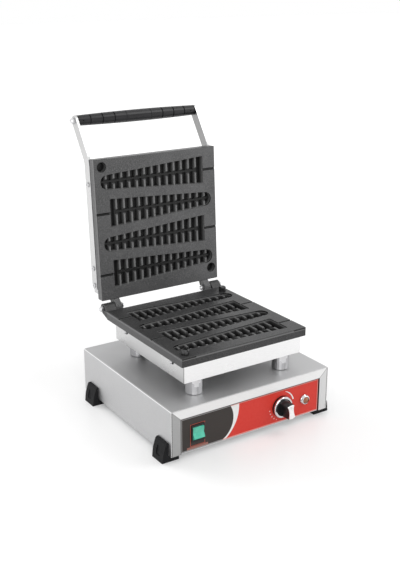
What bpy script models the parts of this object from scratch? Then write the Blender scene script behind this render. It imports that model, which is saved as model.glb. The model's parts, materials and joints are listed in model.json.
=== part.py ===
"""Electric waffle stick maker with its lid open.

A sheet steel case on four rubber feet carries four chromed columns, a steel housing and a cast
cooking plate. A second cast plate, with its steel cover, two flat arms and a barrel grip, swings
on two hinge pins behind the first one. Each plate has four ribbed stick moulds.

Lengths are in metres. Z is up, X runs to the right along the front, and the front faces -Y. The
origin is the middle of the part's box at rest, on the surface that it stands on.
"""
import math

import bmesh
import bpy
from mathutils import Matrix, Vector

# Clearances and steps shared by all pieces
GAP = 0.0003
OVERRUN = 0.001
MERGE = 0.000001
ROUND_STEPS = 24
SMALL_STEPS = 12
SHARP_ANGLE = math.radians(32)

# Case
CASE_WIDTH = 0.320
CASE_DEPTH = 0.304
CASE_HEIGHT = 0.0796
SHEET = 0.0012
CASE_BEND = 0.003
FRAME_STILE = 0.0170
FRAME_RAIL = 0.0182
FRAME_RETURN = 0.014
FRAME_LIP = 0.007
PANEL_RECESS = 0.002
PANEL_MARGIN = 0.0012
PANEL_BORDER = 0.0014
PANEL_BORDER_RISE = 0.0006
PANEL_FLANGE = 0.009
PAN_FLANGE = 0.014
VENT_LENGTH = 0.060
VENT_WIDTH = 0.005
VENT_PITCH = 0.012
VENT_COUNT = 6

# Feet
FOOT_HEIGHT = 0.012
FOOT_LENGTH = 0.032
FOOT_FRONT_INSET = 0.009
FOOT_REAR_INSET = 0.021
FOOT_PAD_REACH = 0.020
FOOT_WEDGE_HEIGHT = 0.022
FOOT_WEDGE_TOP = 0.005
FOOT_WEDGE_BASE = 0.012
FOOT_ROUND = 0.0022
FOOT_RECESS_WIDTH = 0.012
FOOT_RECESS_HEIGHT = 0.017
FOOT_RECESS_DEPTH = 0.0012
FOOT_STEM_INSET = 0.011
FOOT_STEM_RADIUS = 0.0035
FOOT_BARB_RADIUS = 0.0050
FOOT_BARB_HEIGHT = 0.0060

# Columns and their bolts
COLUMN_RADIUS = 0.015
COLUMN_HEIGHT = 0.0271
COLUMN_SIDE_INSET = 0.0286
COLUMN_FRONT_INSET = 0.0161
COLUMN_REAR_INSET = 0.0282
COLUMN_WALL = 0.006
COLUMN_CHAMFER = 0.0008
COLUMN_BOLT_RADIUS = 0.004
COLUMN_BOLT_HEAD_WIDTH = 0.013
COLUMN_BOLT_HEAD_HEIGHT = 0.0052
COLUMN_NUT_HEIGHT = 0.0065
COLUMN_BOLT_TAIL = 0.0025

# Lower housing
HOUSING_SIDE_INSET = 0.0076
HOUSING_FRONT_INSET = 0.0062
HOUSING_REAR_INSET = 0.0200
HOUSING_HEIGHT = 0.0316
NOTCH_RADIUS = 0.005
NOTCH_DROP = 0.0058

# Cooking plates, measured from the hinge axis
PLATE_WIDTH = 0.2504
PLATE_THICKNESS = 0.0154
PLATE_REAR = 0.0141
PLATE_LENGTH = 0.2545
PLATE_CORNER = 0.0015
PLATE_EDGE = 0.0010
HEAD_SHIFT = 0.00305
BOSS_WIDTH = 0.013
BOSS_DEPTH = 0.009

# Stick moulds
MOULD_COUNT = 4
MOULD_ROW_MARGIN = 0.0325
MOULD_ROW_SHIFT = 0.00265
MOULD_TIP_MARGIN = 0.0107
MOULD_END_MARGIN = 0.0269
MOULD_TIP_WIDTH = 0.0262
MOULD_END_WIDTH = 0.0510
MOULD_DEPTH = 0.0118
MOULD_DRAFT = 0.0014
MOULD_END_ROUND = 0.0018
RIB_COUNT = 13
RIB_FIRST = 0.0127
RIB_LAST = 0.0141
RIB_TOP_DROP = 0.0028
RIB_SHOULDER_DROP = 0.0034
RIB_FLANK_DROP = 0.0052
RIB_CREST_HALF = 0.0015
RIB_SHOULDER_HALF = 0.0027
RIB_FOOT_HALF = 0.0037
SPINE_HALF = 0.0013
SPINE_FOOT_HALF = 0.0021
SPINE_DROP = 0.0070
CHANNEL_HALF = 0.0056
CHANNEL_MIDDLE_HALF = 0.0044
CHANNEL_FLOOR_HALF = 0.0034
CHANNEL_MIDDLE_DROP = 0.0044
CHANNEL_TIP_INSET = 0.0016
STICK_RADIUS = 0.0024

# Locating pegs and their holes
PEG_SIDE_INSET = 0.0146
PEG_FAR_INSET = 0.0141
PEG_NEAR_INSET = 0.0228
PEG_RADIUS = 0.0068
PEG_HEIGHT = 0.0095
PEG_CHAMFER = 0.0018
PEG_SLOT_WIDTH = 0.0018
PEG_SLOT_DEPTH = 0.0028
PEG_STEM_RADIUS = 0.004
PEG_STEM_LENGTH = 0.008
PEG_HOLE_PLAY = 0.0014
PEG_HOLE_CHAMFER = 0.0012

# Hinges
LID_LEAN = math.radians(3.25)
KNUCKLE_RADIUS = 0.0095
LOWER_LUG_WIDTH = 0.020
LUG_SPACE = 0.002
UPPER_LUG_WIDTH = 0.012
LUG_BITE = 0.003
LUG_INSET = 0.0006
HEEL_DROP = 0.0045
PIN_RADIUS = 0.004
PIN_THREAD_RADIUS = 0.003
PIN_THREAD_LENGTH = 0.005
PIN_PLAY = 0.0001
ACORN_WIDTH = 0.010
ACORN_HEX_HEIGHT = 0.0042
ACORN_DOME_RADIUS = 0.0044
ACORN_DOME_HEIGHT = 0.0040

# Heating elements and the sheets that clamp them
ELEMENT_RADIUS = 0.004
ELEMENT_BEND_INSET = 0.0227
ELEMENT_NEAR_INSET = 0.0374
ELEMENT_FAR_INSET = 0.0321
ELEMENT_RUNS = 6
ELEMENT_TAIL = 0.009
CLAMP_SHEET = 0.0025
CLAMP_MARGIN = 0.006
CLAMP_SCREW_RADIUS = 0.0025
CLAMP_SCREW_HEAD_RADIUS = 0.005
CLAMP_SCREW_HEAD_HEIGHT = 0.003
CLAMP_SCREW_BITE = 0.0025

# Lid cover, arms and grip
COVER_DEPTH = 0.0240
COVER_MARGIN = 0.0080
ARM_THICKNESS = 0.0040
ARM_HALF_WIDTH = 0.0095
ARM_BACKSET = 0.0254
ARM_FOOT = 0.0300
ARM_BEND_INSET = 0.0036
ARM_BEND_RADIUS = 0.030
ARM_STAND = 0.0008
GRIP_RISE = 0.0624
GRIP_BACKSET = 0.0650
ARM_SCREW_SHARES = (0.098, 0.221, 0.820)
ARM_SCREW_RADIUS = 0.0022
ARM_SCREW_HEAD_RADIUS = 0.0045
ARM_SCREW_HEAD_HEIGHT = 0.0024
ARM_SCREW_SOCKET = 0.0024
ARM_SCREW_SOCKET_DEPTH = 0.0014
ARM_SCREW_LENGTH = 0.014
GRIP_END_RADIUS = 0.0092
GRIP_MIDDLE_RADIUS = 0.0110
GRIP_SHORT_LENGTH = 0.0240
GRIP_SHORT_COUNT = 4
GRIP_GROOVE_WIDTH = 0.0026
GRIP_GROOVE_DEPTH = 0.0017
GRIP_LINE_WIDTH = 0.0012
GRIP_LINE_DEPTH = 0.0008
GRIP_HOLE_RADIUS = 0.0013
GRIP_HOLE_INSET = 0.0100
TIE_ROD_RADIUS = 0.003
GRIP_STEPS = 20

# Plate screws that show in the housing's notches
PLATE_SCREW_SHARES = (0.2326, 0.8338)
PLATE_SCREW_RADIUS = 0.0019
PLATE_SCREW_NECK_RADIUS = 0.0025
PLATE_SCREW_HEAD_RADIUS = 0.0034
PLATE_SCREW_HEAD_HEIGHT = 0.0026
PLATE_SCREW_STAND = 0.0022
PLATE_SCREW_BITE = 0.008

# Controls
CONTROL_DROP = 0.0007
SWITCH_INSET = 0.0510
SWITCH_BEZEL_WIDTH = 0.0250
SWITCH_BEZEL_HEIGHT = 0.0300
SWITCH_BEZEL_RISE = 0.0022
SWITCH_BODY_WIDTH = 0.0236
SWITCH_BODY_HEIGHT = 0.0266
SWITCH_BODY_DEPTH = 0.020
SWITCH_WELL_DEPTH = 0.012
ROCKER_WIDTH = 0.0205
ROCKER_RADIUS = 0.0115
ROCKER_TILT = math.radians(9)
ROCKER_PIVOT_DEPTH = 0.0040
ROCKER_PROUD = 0.0072
ROCKER_WAIST = 0.0046
ROCKER_BACK = 0.0040
ROCKER_STUB_RADIUS = 0.0013
ROCKER_STUB_LENGTH = 0.0009
ROCKER_PLAY = 0.0004
KNOB_INSET = 0.0995
KNOB_RADIUS = 0.0190
KNOB_FLANGE = 0.0036
KNOB_RING_WIDTH = 0.0034
KNOB_RING_HEIGHT = 0.0040
KNOB_BAR_RISE = 0.0190
KNOB_BAR_END_HALF = 0.0074
KNOB_BAR_WAIST_HALF = 0.0051
KNOB_BAR_TAPER_SHARE = 0.93
KNOB_CAP_THICKNESS = 0.0014
KNOB_CAP_INSET = 0.0007
KNOB_MARK_LENGTH = 0.0062
KNOB_MARK_WIDTH = 0.0014
KNOB_MARK_DEPTH = 0.0005
KNOB_MARK_RISE = 0.0078
KNOB_BAR_INSET = 0.0006
KNOB_REST_TURN = math.radians(8)
KNOB_STEPS = 36
KNOB_SIDE_STEPS = 8
SHAFT_RADIUS = 0.003
SHAFT_GRIP = 0.012
SHAFT_SEAT = 0.006
THERMOSTAT_RADIUS = 0.017
THERMOSTAT_DEPTH = 0.018
THERMOSTAT_NECK_RADIUS = 0.0055
LAMP_INSET = 0.0500
LAMP_FLANGE_RADIUS = 0.0093
LAMP_RISE = 0.0060
LAMP_LENS_RADIUS = 0.0060
LAMP_LENS_RISE = 0.0016
LAMP_LENS_SEAT = 0.0045
LAMP_BARREL_RADIUS = 0.0062
LAMP_BARREL_LENGTH = 0.020

# Mains entry at the back
GLAND_INSET = 0.0600
GLAND_HEIGHT = 0.0320
GLAND_BORE = 0.0068
GLAND_THREAD_RADIUS = 0.0100
GLAND_HEX_WIDTH = 0.026
GLAND_HEX_HEIGHT = 0.006
GLAND_CAP_RADIUS = 0.0120
GLAND_CAP_LENGTH = 0.011
GLAND_TAIL = 0.009
GLAND_NUT_HEIGHT = 0.004
TERMINAL_LENGTH = 0.042
TERMINAL_WIDTH = 0.020
TERMINAL_HEIGHT = 0.016
TERMINAL_HOLE_RADIUS = 0.0026
TERMINAL_HOLE_DEPTH = 0.006
TERMINAL_SETBACK = 0.060

# Places that follow from the sizes above
CASE_TOP = CASE_HEIGHT
HOUSING_BASE = CASE_TOP + COLUMN_HEIGHT
PLATE_BASE = HOUSING_BASE + HOUSING_HEIGHT
PARTING_LINE = PLATE_BASE + PLATE_THICKNESS
HINGE_HEIGHT = FOOT_HEIGHT + PARTING_LINE
PLATE_FAR = PLATE_REAR + PLATE_LENGTH
PLATE_SIDE = PLATE_WIDTH / 2
HINGE_SETBACK = (CASE_DEPTH + PLATE_LENGTH) / 2 + PLATE_REAR - HEAD_SHIFT
HOUSING_SIDE = PLATE_SIDE - HOUSING_SIDE_INSET
HOUSING_FRONT = HINGE_SETBACK - PLATE_FAR + HOUSING_FRONT_INSET
HOUSING_REAR = HINGE_SETBACK - PLATE_REAR - HOUSING_REAR_INSET
COLUMN_SIDE = HOUSING_SIDE - COLUMN_SIDE_INSET
COLUMN_FRONT = HOUSING_FRONT + COLUMN_FRONT_INSET
COLUMN_REAR = HOUSING_REAR - COLUMN_REAR_INSET
PLATE_SCREW_PLACES = tuple(PLATE_REAR + share * PLATE_LENGTH for share in PLATE_SCREW_SHARES)
ARM_SCREW_PLACES = tuple(PLATE_REAR + share * PLATE_LENGTH for share in ARM_SCREW_SHARES)
ARM_BEND = PLATE_FAR - ARM_BEND_INSET
GRIP_REACH = PLATE_FAR + GRIP_RISE
ARM_OUTER = PLATE_SIDE + ARM_STAND
ARM_INNER = ARM_OUTER - ARM_THICKNESS
COVER_SIDE = ARM_INNER - GAP
ARM_SCREW_TIP = ARM_OUTER + GAP - ARM_SCREW_LENGTH
LOWER_LUG_OUTER = PLATE_SIDE - LUG_INSET
LOWER_LUG_INNER = LOWER_LUG_OUTER - LOWER_LUG_WIDTH
UPPER_LUG_OUTER = LOWER_LUG_INNER - LUG_SPACE
UPPER_LUG_INNER = UPPER_LUG_OUTER - UPPER_LUG_WIDTH
MOULD_PITCH = (PLATE_LENGTH - MOULD_ROW_MARGIN) / MOULD_COUNT
MOULD_MIDDLE = PLATE_REAR + PLATE_LENGTH / 2 + MOULD_ROW_SHIFT
MOULD_TIP = PLATE_SIDE - MOULD_TIP_MARGIN
MOULD_END = PLATE_SIDE - MOULD_END_MARGIN
MOULD_LENGTH = MOULD_TIP + MOULD_END
RIB_PITCH = (MOULD_LENGTH - RIB_FIRST - RIB_LAST) / (RIB_COUNT - 1)
PEG_SIDE = PLATE_SIDE - PEG_SIDE_INSET
PEG_FAR = PLATE_FAR - PEG_FAR_INSET
PEG_NEAR = PLATE_REAR + PEG_NEAR_INSET
ELEMENT_NEAR = PLATE_REAR + ELEMENT_NEAR_INSET
ELEMENT_TURN = (PLATE_LENGTH - ELEMENT_NEAR_INSET - ELEMENT_FAR_INSET) / (2 * (ELEMENT_RUNS - 1))
ELEMENT_SIDE = PLATE_SIDE - ELEMENT_BEND_INSET - ELEMENT_TURN
CONTROL_LINE = (CASE_HEIGHT - FRAME_RAIL) / 2 - CONTROL_DROP
SWITCH_SIDE = SWITCH_INSET - CASE_WIDTH / 2
KNOB_SIDE = CASE_WIDTH / 2 - KNOB_INSET
LAMP_SIDE = CASE_WIDTH / 2 - LAMP_INSET
GLAND_SIDE = GLAND_INSET - CASE_WIDTH / 2
KNOB_RING_BASE = KNOB_FLANGE - PANEL_RECESS + GAP
KNOB_FACE = KNOB_RING_BASE + KNOB_RING_HEIGHT
KNOB_FRONT = KNOB_FACE + KNOB_BAR_RISE + GAP + KNOB_CAP_THICKNESS
GRIP_BEHIND = GRIP_REACH * math.sin(LID_LEAN) + GRIP_BACKSET * math.cos(LID_LEAN)
REACH_BACK = HINGE_SETBACK + GRIP_BEHIND + GRIP_MIDDLE_RADIUS
CASE_FRONT = (KNOB_FRONT - REACH_BACK) / 2


def clear_scene():
    for obj in list(bpy.data.objects):
        bpy.data.objects.remove(obj, do_unlink=True)


def finish(name, colour, roughness, metallic):
    material = bpy.data.materials.new(name)
    material.use_nodes = True
    shader = material.node_tree.nodes["Principled BSDF"]
    shader.inputs["Base Color"].default_value = (*colour, 1)
    shader.inputs["Roughness"].default_value = roughness
    shader.inputs["Metallic"].default_value = metallic
    material.diffuse_color = (*colour, 1)
    return material


def add_empty(name, place, turn=0, parent=None):
    """An empty that carries pieces; turn is its angle about X."""
    empty = bpy.data.objects.new(name, None)
    bpy.context.scene.collection.objects.link(empty)
    empty.parent = parent
    empty.location = place
    empty.rotation_euler = (turn, 0, 0)
    return empty


def add_piece(name, shape, surface, parent=None, place=(0, 0, 0)):
    """Turn a bmesh into a named object with its finish."""
    mesh = bpy.data.meshes.new(name)
    if surface:
        large = [face for face in shape.faces if len(face.verts) > 4]
        bmesh.ops.triangulate(shape, faces=large, quad_method="BEAUTY", ngon_method="BEAUTY")
    shape.to_mesh(mesh)
    shape.free()
    mesh.shade_smooth()
    mesh.set_sharp_from_angle(angle=SHARP_ANGLE)
    if surface:
        mesh.materials.append(finish(name, *surface))
    piece = bpy.data.objects.new(name, mesh)
    bpy.context.scene.collection.objects.link(piece)
    piece.parent = parent
    piece.location = place
    return piece


def put(axis, across, up, along):
    """A 3-D point from the two outline directions and the distance along an axis."""
    if axis == "X":
        return (along, across, up)
    if axis == "Y":
        return (across, along, up)
    return (across, up, along)


def loft(rings):
    """Skin a closed solid over rings with equal counts of points."""
    shape = bmesh.new()
    loops = [[shape.verts.new(point) for point in ring] for ring in rings]
    for near, far in zip(loops, loops[1:]):
        for i in range(len(near)):
            j = (i + 1) % len(near)
            shape.faces.new((near[i], near[j], far[j], far[i]))
    shape.faces.new(loops[0])
    shape.faces.new(loops[-1])
    bmesh.ops.recalc_face_normals(shape, faces=shape.faces)
    return shape


def prism(outline, axis, low, high):
    """Extrude an outline along an axis from low to high."""
    return loft([[put(axis, a, b, level) for a, b in outline] for level in (low, high)])


def box(low, high):
    corners = [(low[0], low[1]), (high[0], low[1]), (high[0], high[1]), (low[0], high[1])]
    return prism(corners, "Z", low[2], high[2])


def turned(profile, steps=ROUND_STEPS, ring=False):
    """Turn (radius, height) points about Z; a ring's profile closes on itself."""
    shape = bmesh.new()
    verts = [shape.verts.new((radius, 0, height)) for radius, height in profile]
    pairs = list(zip(verts, verts[1:]))
    if ring:
        pairs.append((verts[-1], verts[0]))
    edges = [shape.edges.new(pair) for pair in pairs]
    bmesh.ops.spin(shape, geom=verts + edges, cent=(0, 0, 0), axis=(0, 0, 1),
                   angle=math.tau, steps=steps, use_merge=True)
    bmesh.ops.remove_doubles(shape, verts=shape.verts, dist=MERGE)
    bmesh.ops.recalc_face_normals(shape, faces=shape.faces)
    return shape


def rod(radius, low, high, steps=ROUND_STEPS):
    return turned([(0, low), (radius, low), (radius, high), (0, high)], steps)


def hexagon(width, low, high):
    """A hexagonal prism, width across its flats."""
    radius = width / math.sqrt(3)
    outline = [(radius * math.cos(math.tau * i / 6), radius * math.sin(math.tau * i / 6)) for i in range(6)]
    return prism(outline, "Z", low, high)


def moved(shape, x=0, y=0, z=0):
    bmesh.ops.translate(shape, vec=Vector((x, y, z)), verts=shape.verts)
    return shape


def aimed(shape, direction):
    """Swing a shape so that its +Z points along +X, -X, +Y, -Y or -Z."""
    swings = {"+X": (math.pi / 2, "Y"), "-X": (-math.pi / 2, "Y"), "-Y": (math.pi / 2, "X"),
              "+Y": (-math.pi / 2, "X"), "-Z": (math.pi, "X")}
    angle, axis = swings[direction]
    bmesh.ops.rotate(shape, cent=(0, 0, 0), matrix=Matrix.Rotation(angle, 3, axis), verts=shape.verts)
    return shape


def mirrored(shape):
    """The same shape on the other side of the plane x = 0."""
    other = shape.copy()
    bmesh.ops.scale(other, vec=(-1, 1, 1), verts=other.verts)
    bmesh.ops.reverse_faces(other, faces=other.faces)
    return other


def boolean(body, tools, operation):
    """Apply exact Booleans with each tool in turn."""
    base = add_piece("boolean_body", body, None)
    others = [add_piece("boolean_tool", tool, None) for tool in tools]
    for other in others:
        modifier = base.modifiers.new("boolean", "BOOLEAN")
        modifier.operation = operation
        modifier.solver = "EXACT"
        modifier.object = other
    evaluated = base.evaluated_get(bpy.context.evaluated_depsgraph_get())
    mesh = bpy.data.meshes.new_from_object(evaluated)
    result = bmesh.new()
    result.from_mesh(mesh)
    bmesh.ops.remove_doubles(result, verts=result.verts, dist=MERGE)
    bpy.data.meshes.remove(mesh)
    for obj in [base, *others]:
        old = obj.data
        bpy.data.objects.remove(obj, do_unlink=True)
        bpy.data.meshes.remove(old)
    return result


def cut(body, *tools):
    return boolean(body, tools, "DIFFERENCE")


def fused(body, *tools):
    return boolean(body, tools, "UNION")


def arc(centre, radius, start, end, steps):
    """Points on an arc between two angles in degrees."""
    points = []
    for i in range(steps + 1):
        angle = math.radians(start + (end - start) * i / steps)
        points.append((centre[0] + radius * math.cos(angle), centre[1] + radius * math.sin(angle)))
    return points


def rounded_rectangle(low, high, radius, steps=3):
    """Anticlockwise outline of a rectangle with round corners."""
    right, left = high[0] - radius, low[0] + radius
    top, bottom = high[1] - radius, low[1] + radius
    return (arc((right, bottom), radius, -90, 0, steps) + arc((right, top), radius, 0, 90, steps)
            + arc((left, top), radius, 90, 180, steps) + arc((left, bottom), radius, 180, 270, steps))


def build_case(case, surfaces):
    """Folded shell, front frame, control panel and base pan; case coordinates start at its front."""
    steel = surfaces["steel"]
    half = CASE_WIDTH / 2
    back = CASE_DEPTH
    wall = SHEET

    outer = [(-half, 0), (half, 0), *arc((half - CASE_BEND, CASE_TOP - CASE_BEND), CASE_BEND, 0, 90, 3),
             *arc((CASE_BEND - half, CASE_TOP - CASE_BEND), CASE_BEND, 90, 180, 3)]
    shell = prism(outer, "Y", 0, back)
    room = box((wall - half, -OVERRUN, -OVERRUN), (half - wall, back - wall, CASE_TOP - wall))
    nut_base = CASE_TOP - wall - COLUMN_NUT_HEIGHT
    nuts = [moved(hexagon(COLUMN_BOLT_HEAD_WIDTH, nut_base, CASE_TOP - wall / 2), x, y)
            for x, y in column_places()]
    holes = [moved(rod(COLUMN_BOLT_RADIUS + GAP, nut_base - OVERRUN, CASE_TOP + OVERRUN, SMALL_STEPS), x, y)
             for x, y in column_places()]
    entry = aimed(rod(GLAND_THREAD_RADIUS + GAP, -OVERRUN, wall + OVERRUN), "+Y")
    moved(entry, GLAND_SIDE, back - wall, GLAND_HEIGHT)
    shell = fused(cut(shell, room), *nuts)
    add_piece("case_shell", cut(shell, *holes, entry), steel, case)

    side = half - wall - GAP
    top = CASE_TOP - wall - GAP
    opening_side = half - wall - GAP - FRAME_STILE
    opening_top = CASE_TOP - FRAME_RAIL
    frame = box((-side, 0, 0), (side, FRAME_RETURN, top))
    inside = box((wall - side, wall, -OVERRUN), (side - wall, FRAME_RETURN + OVERRUN, top - wall))
    frame = cut(frame, inside)
    lips = box((-opening_side - wall, 0, 0), (opening_side + wall, FRAME_LIP, opening_top + wall))
    frame = fused(frame, moved(lips, 0, wall / 2, 0))
    opening = box((-opening_side, -OVERRUN, -OVERRUN), (opening_side, FRAME_RETURN, opening_top))
    add_piece("front_frame", cut(frame, opening), surfaces["bright_steel"], case)

    build_panel(case, surfaces, opening_side, opening_top)

    floor_side = side - wall - GAP
    pan = box((-floor_side, FRAME_RETURN + GAP, 0), (floor_side, back - wall - GAP, PAN_FLANGE))
    well = box((wall - floor_side, 0, wall), (floor_side - wall, back - 2 * wall - GAP, PAN_FLANGE + OVERRUN))
    tongue_side = opening_side - PANEL_MARGIN
    pan = fused(pan, box((-tongue_side, PANEL_RECESS, 0), (tongue_side, FRAME_RETURN + wall, wall * 2)))
    slots = []
    for i in range(VENT_COUNT):
        y = back / 2 + (i - (VENT_COUNT - 1) / 2) * VENT_PITCH
        for x in (-VENT_LENGTH, VENT_LENGTH):
            slots.append(box((x - VENT_LENGTH / 2, y - VENT_WIDTH / 2, -OVERRUN),
                             (x + VENT_LENGTH / 2, y + VENT_WIDTH / 2, wall + OVERRUN)))
    slots += [moved(rod(FOOT_STEM_RADIUS + GAP, -OVERRUN, wall + OVERRUN, SMALL_STEPS), x, y)
              for x, y in foot_stem_places()]
    add_piece("base_pan", cut(pan, well, *slots), surfaces["galvanised"], case)


def build_panel(case, surfaces, opening_side, opening_top):
    """Recessed control panel with a raised border and holes for its three controls."""
    side = opening_side - PANEL_MARGIN
    top = opening_top - PANEL_MARGIN
    face = PANEL_RECESS
    plate = box((-side, face, SHEET + GAP), (side, face + SHEET, top))
    border = box((-side, face - PANEL_BORDER_RISE, SHEET + GAP), (side, face + SHEET / 2, top))
    hollow = box((PANEL_BORDER - side, -OVERRUN, SHEET + GAP + PANEL_BORDER),
                 (side - PANEL_BORDER, face + SHEET, top - PANEL_BORDER))
    flange = box((-side, face + SHEET / 2, SHEET + GAP), (side, face + PANEL_FLANGE, 2 * SHEET + GAP))
    plate = fused(plate, cut(border, hollow), flange)
    window_x = SWITCH_BODY_WIDTH / 2 + GAP
    window_z = SWITCH_BODY_HEIGHT / 2 + GAP
    window = box((SWITCH_SIDE - window_x, 0, CONTROL_LINE - window_z),
                 (SWITCH_SIDE + window_x, face + SHEET + OVERRUN, CONTROL_LINE + window_z))
    neck = aimed(rod(THERMOSTAT_NECK_RADIUS + GAP, 0, face + SHEET + OVERRUN, SMALL_STEPS), "+Y")
    barrel = aimed(rod(LAMP_BARREL_RADIUS + GAP, 0, face + SHEET + OVERRUN, SMALL_STEPS), "+Y")
    moved(neck, KNOB_SIDE, 0, CONTROL_LINE)
    moved(barrel, LAMP_SIDE, 0, CONTROL_LINE)
    plate = cut(plate, window, neck, barrel)
    add_piece("control_panel", plate, surfaces["panel"], case)


def column_places():
    return [(side * COLUMN_SIDE, y) for y in (COLUMN_FRONT, COLUMN_REAR) for side in (-1, 1)]


def foot_middles():
    """Name, side and middle along Y of each foot."""
    front = FOOT_FRONT_INSET + FOOT_LENGTH / 2
    rear = CASE_DEPTH - FOOT_REAR_INSET - FOOT_LENGTH / 2
    return [("foot_front_left", -1, front), ("foot_front_right", 1, front),
            ("foot_rear_left", -1, rear), ("foot_rear_right", 1, rear)]


def foot_stem_places():
    inset = CASE_WIDTH / 2 - FOOT_STEM_INSET
    return [(side * inset, y) for _, side, y in foot_middles()]


def build_feet(case, surfaces):
    """Rubber feet: a pad under the case and a wedge that wraps up its side."""
    side = CASE_WIDTH / 2
    half = FOOT_LENGTH / 2
    for name, hand, y in foot_middles():
        inner = side - FOOT_PAD_REACH
        top_x = side + FOOT_WEDGE_TOP
        base_x = side + FOOT_WEDGE_BASE
        bulge = FOOT_WEDGE_TOP / 4
        outline = [(inner, -FOOT_HEIGHT), (base_x, -FOOT_HEIGHT),
                   ((top_x + base_x) / 2 + bulge, (FOOT_WEDGE_HEIGHT - FOOT_HEIGHT) / 2),
                   (top_x, FOOT_WEDGE_HEIGHT - FOOT_ROUND),
                   (top_x - FOOT_ROUND, FOOT_WEDGE_HEIGHT), (side + GAP, FOOT_WEDGE_HEIGHT),
                   (side + GAP, -GAP), (inner, -GAP)]
        foot = prism(outline, "Y", -half, half)
        pad = rounded_rectangle((inner - OVERRUN, -half), (base_x + OVERRUN, half), FOOT_ROUND, 2)
        rounded = prism(pad, "Z", -FOOT_HEIGHT - OVERRUN, FOOT_WEDGE_HEIGHT + OVERRUN)
        foot = boolean(foot, [rounded], "INTERSECT")
        slope = math.atan2(base_x - top_x, FOOT_HEIGHT + FOOT_WEDGE_HEIGHT)
        oblong = rounded_rectangle((-FOOT_RECESS_WIDTH / 2, -FOOT_RECESS_HEIGHT / 2),
                                   (FOOT_RECESS_WIDTH / 2, FOOT_RECESS_HEIGHT / 2), FOOT_ROUND, 2)
        recess = prism(oblong, "X", -FOOT_RECESS_DEPTH, FOOT_WEDGE_BASE)
        bmesh.ops.rotate(recess, cent=(0, 0, 0), matrix=Matrix.Rotation(-slope, 3, "Y"), verts=recess.verts)
        moved(recess, (top_x + base_x) / 2 + bulge / 2, 0, (FOOT_WEDGE_HEIGHT - FOOT_HEIGHT) / 2)
        foot = cut(foot, recess)
        seat = SHEET + GAP
        stem = turned([(0, -FOOT_HEIGHT / 2), (FOOT_STEM_RADIUS, -FOOT_HEIGHT / 2), (FOOT_STEM_RADIUS, seat),
                       (FOOT_BARB_RADIUS, seat), (FOOT_STEM_RADIUS / 2, seat + FOOT_BARB_HEIGHT),
                       (0, seat + FOOT_BARB_HEIGHT)], SMALL_STEPS)
        foot = fused(foot, moved(stem, side - FOOT_STEM_INSET))
        if hand < 0:
            foot = mirrored(foot)
        add_piece(name, foot, surfaces["rubber"], case, (0, y, 0))


def build_columns(case, surfaces):
    """Chromed spacer tubes, each clamped by a bolt from the housing down to a nut in the case."""
    low = CASE_TOP + GAP
    high = HOUSING_BASE - GAP
    inner = COLUMN_RADIUS - COLUMN_WALL
    edge = COLUMN_CHAMFER
    profile = [(inner, low), (COLUMN_RADIUS - edge, low), (COLUMN_RADIUS, low + edge),
               (COLUMN_RADIUS, high - edge), (COLUMN_RADIUS - edge, high), (inner, high)]
    names = ("column_front_left", "column_front_right", "column_rear_left", "column_rear_right")
    for name, (x, y) in zip(names, column_places()):
        add_piece(name, turned(profile, ROUND_STEPS, ring=True), surfaces["chrome"], case, (x, y, 0))

    seat = HOUSING_BASE + SHEET + GAP
    tail = CASE_TOP - SHEET - COLUMN_NUT_HEIGHT - COLUMN_BOLT_TAIL
    for name, (x, y) in zip(names, column_places()):
        shank = rod(COLUMN_BOLT_RADIUS, tail, seat + GAP, SMALL_STEPS)
        head = hexagon(COLUMN_BOLT_HEAD_WIDTH, seat, seat + COLUMN_BOLT_HEAD_HEIGHT)
        bolt = fused(head, shank)
        add_piece(name.replace("column", "column_bolt"), bolt, surfaces["zinc"], case, (x, y, 0))


def build_housing(case, surfaces):
    """Open steel tray under the lower plate, notched at its upper edges for the plate screws."""
    half = HOUSING_SIDE
    low, high = HOUSING_BASE, PLATE_BASE - GAP
    y0, y1 = HOUSING_FRONT, HOUSING_REAR
    tray = box((-half, y0, low), (half, y1, high))
    well = box((SHEET - half, y0 + SHEET, low + SHEET), (half - SHEET, y1 - SHEET, high + OVERRUN))
    holes = [moved(rod(COLUMN_BOLT_RADIUS + GAP, low - OVERRUN, low + SHEET + OVERRUN, SMALL_STEPS), x, y)
             for x, y in column_places()]
    centre = PLATE_BASE - NOTCH_DROP
    notch = [(NOTCH_RADIUS, PLATE_BASE - centre), (-NOTCH_RADIUS, PLATE_BASE - centre),
             *arc((0, 0), NOTCH_RADIUS, 180, 360, 8)]
    notches = [moved(prism(notch, "X", -half - OVERRUN, half + OVERRUN), 0, HINGE_SETBACK - u, centre)
               for u in PLATE_SCREW_PLACES]
    add_piece("lower_housing", cut(tray, well, *holes, *notches), surfaces["bright_steel"], case)


def mould_outline(inset):
    """Mould outline as (distance from the tip, side): a round tip that widens to a square end."""
    tip = MOULD_TIP_WIDTH / 2 - inset
    end = MOULD_END_WIDTH / 2 - inset
    round_end = MOULD_END_ROUND
    return (arc((MOULD_TIP_WIDTH / 2, 0), tip, 90, 270, 10)
            + arc((MOULD_LENGTH - inset - round_end, round_end - end), round_end, -90, 0, 2)
            + arc((MOULD_LENGTH - inset - round_end, end - round_end), round_end, 0, 90, 2))


def rib_places():
    return [RIB_FIRST + i * RIB_PITCH for i in range(RIB_COUNT)]


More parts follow.
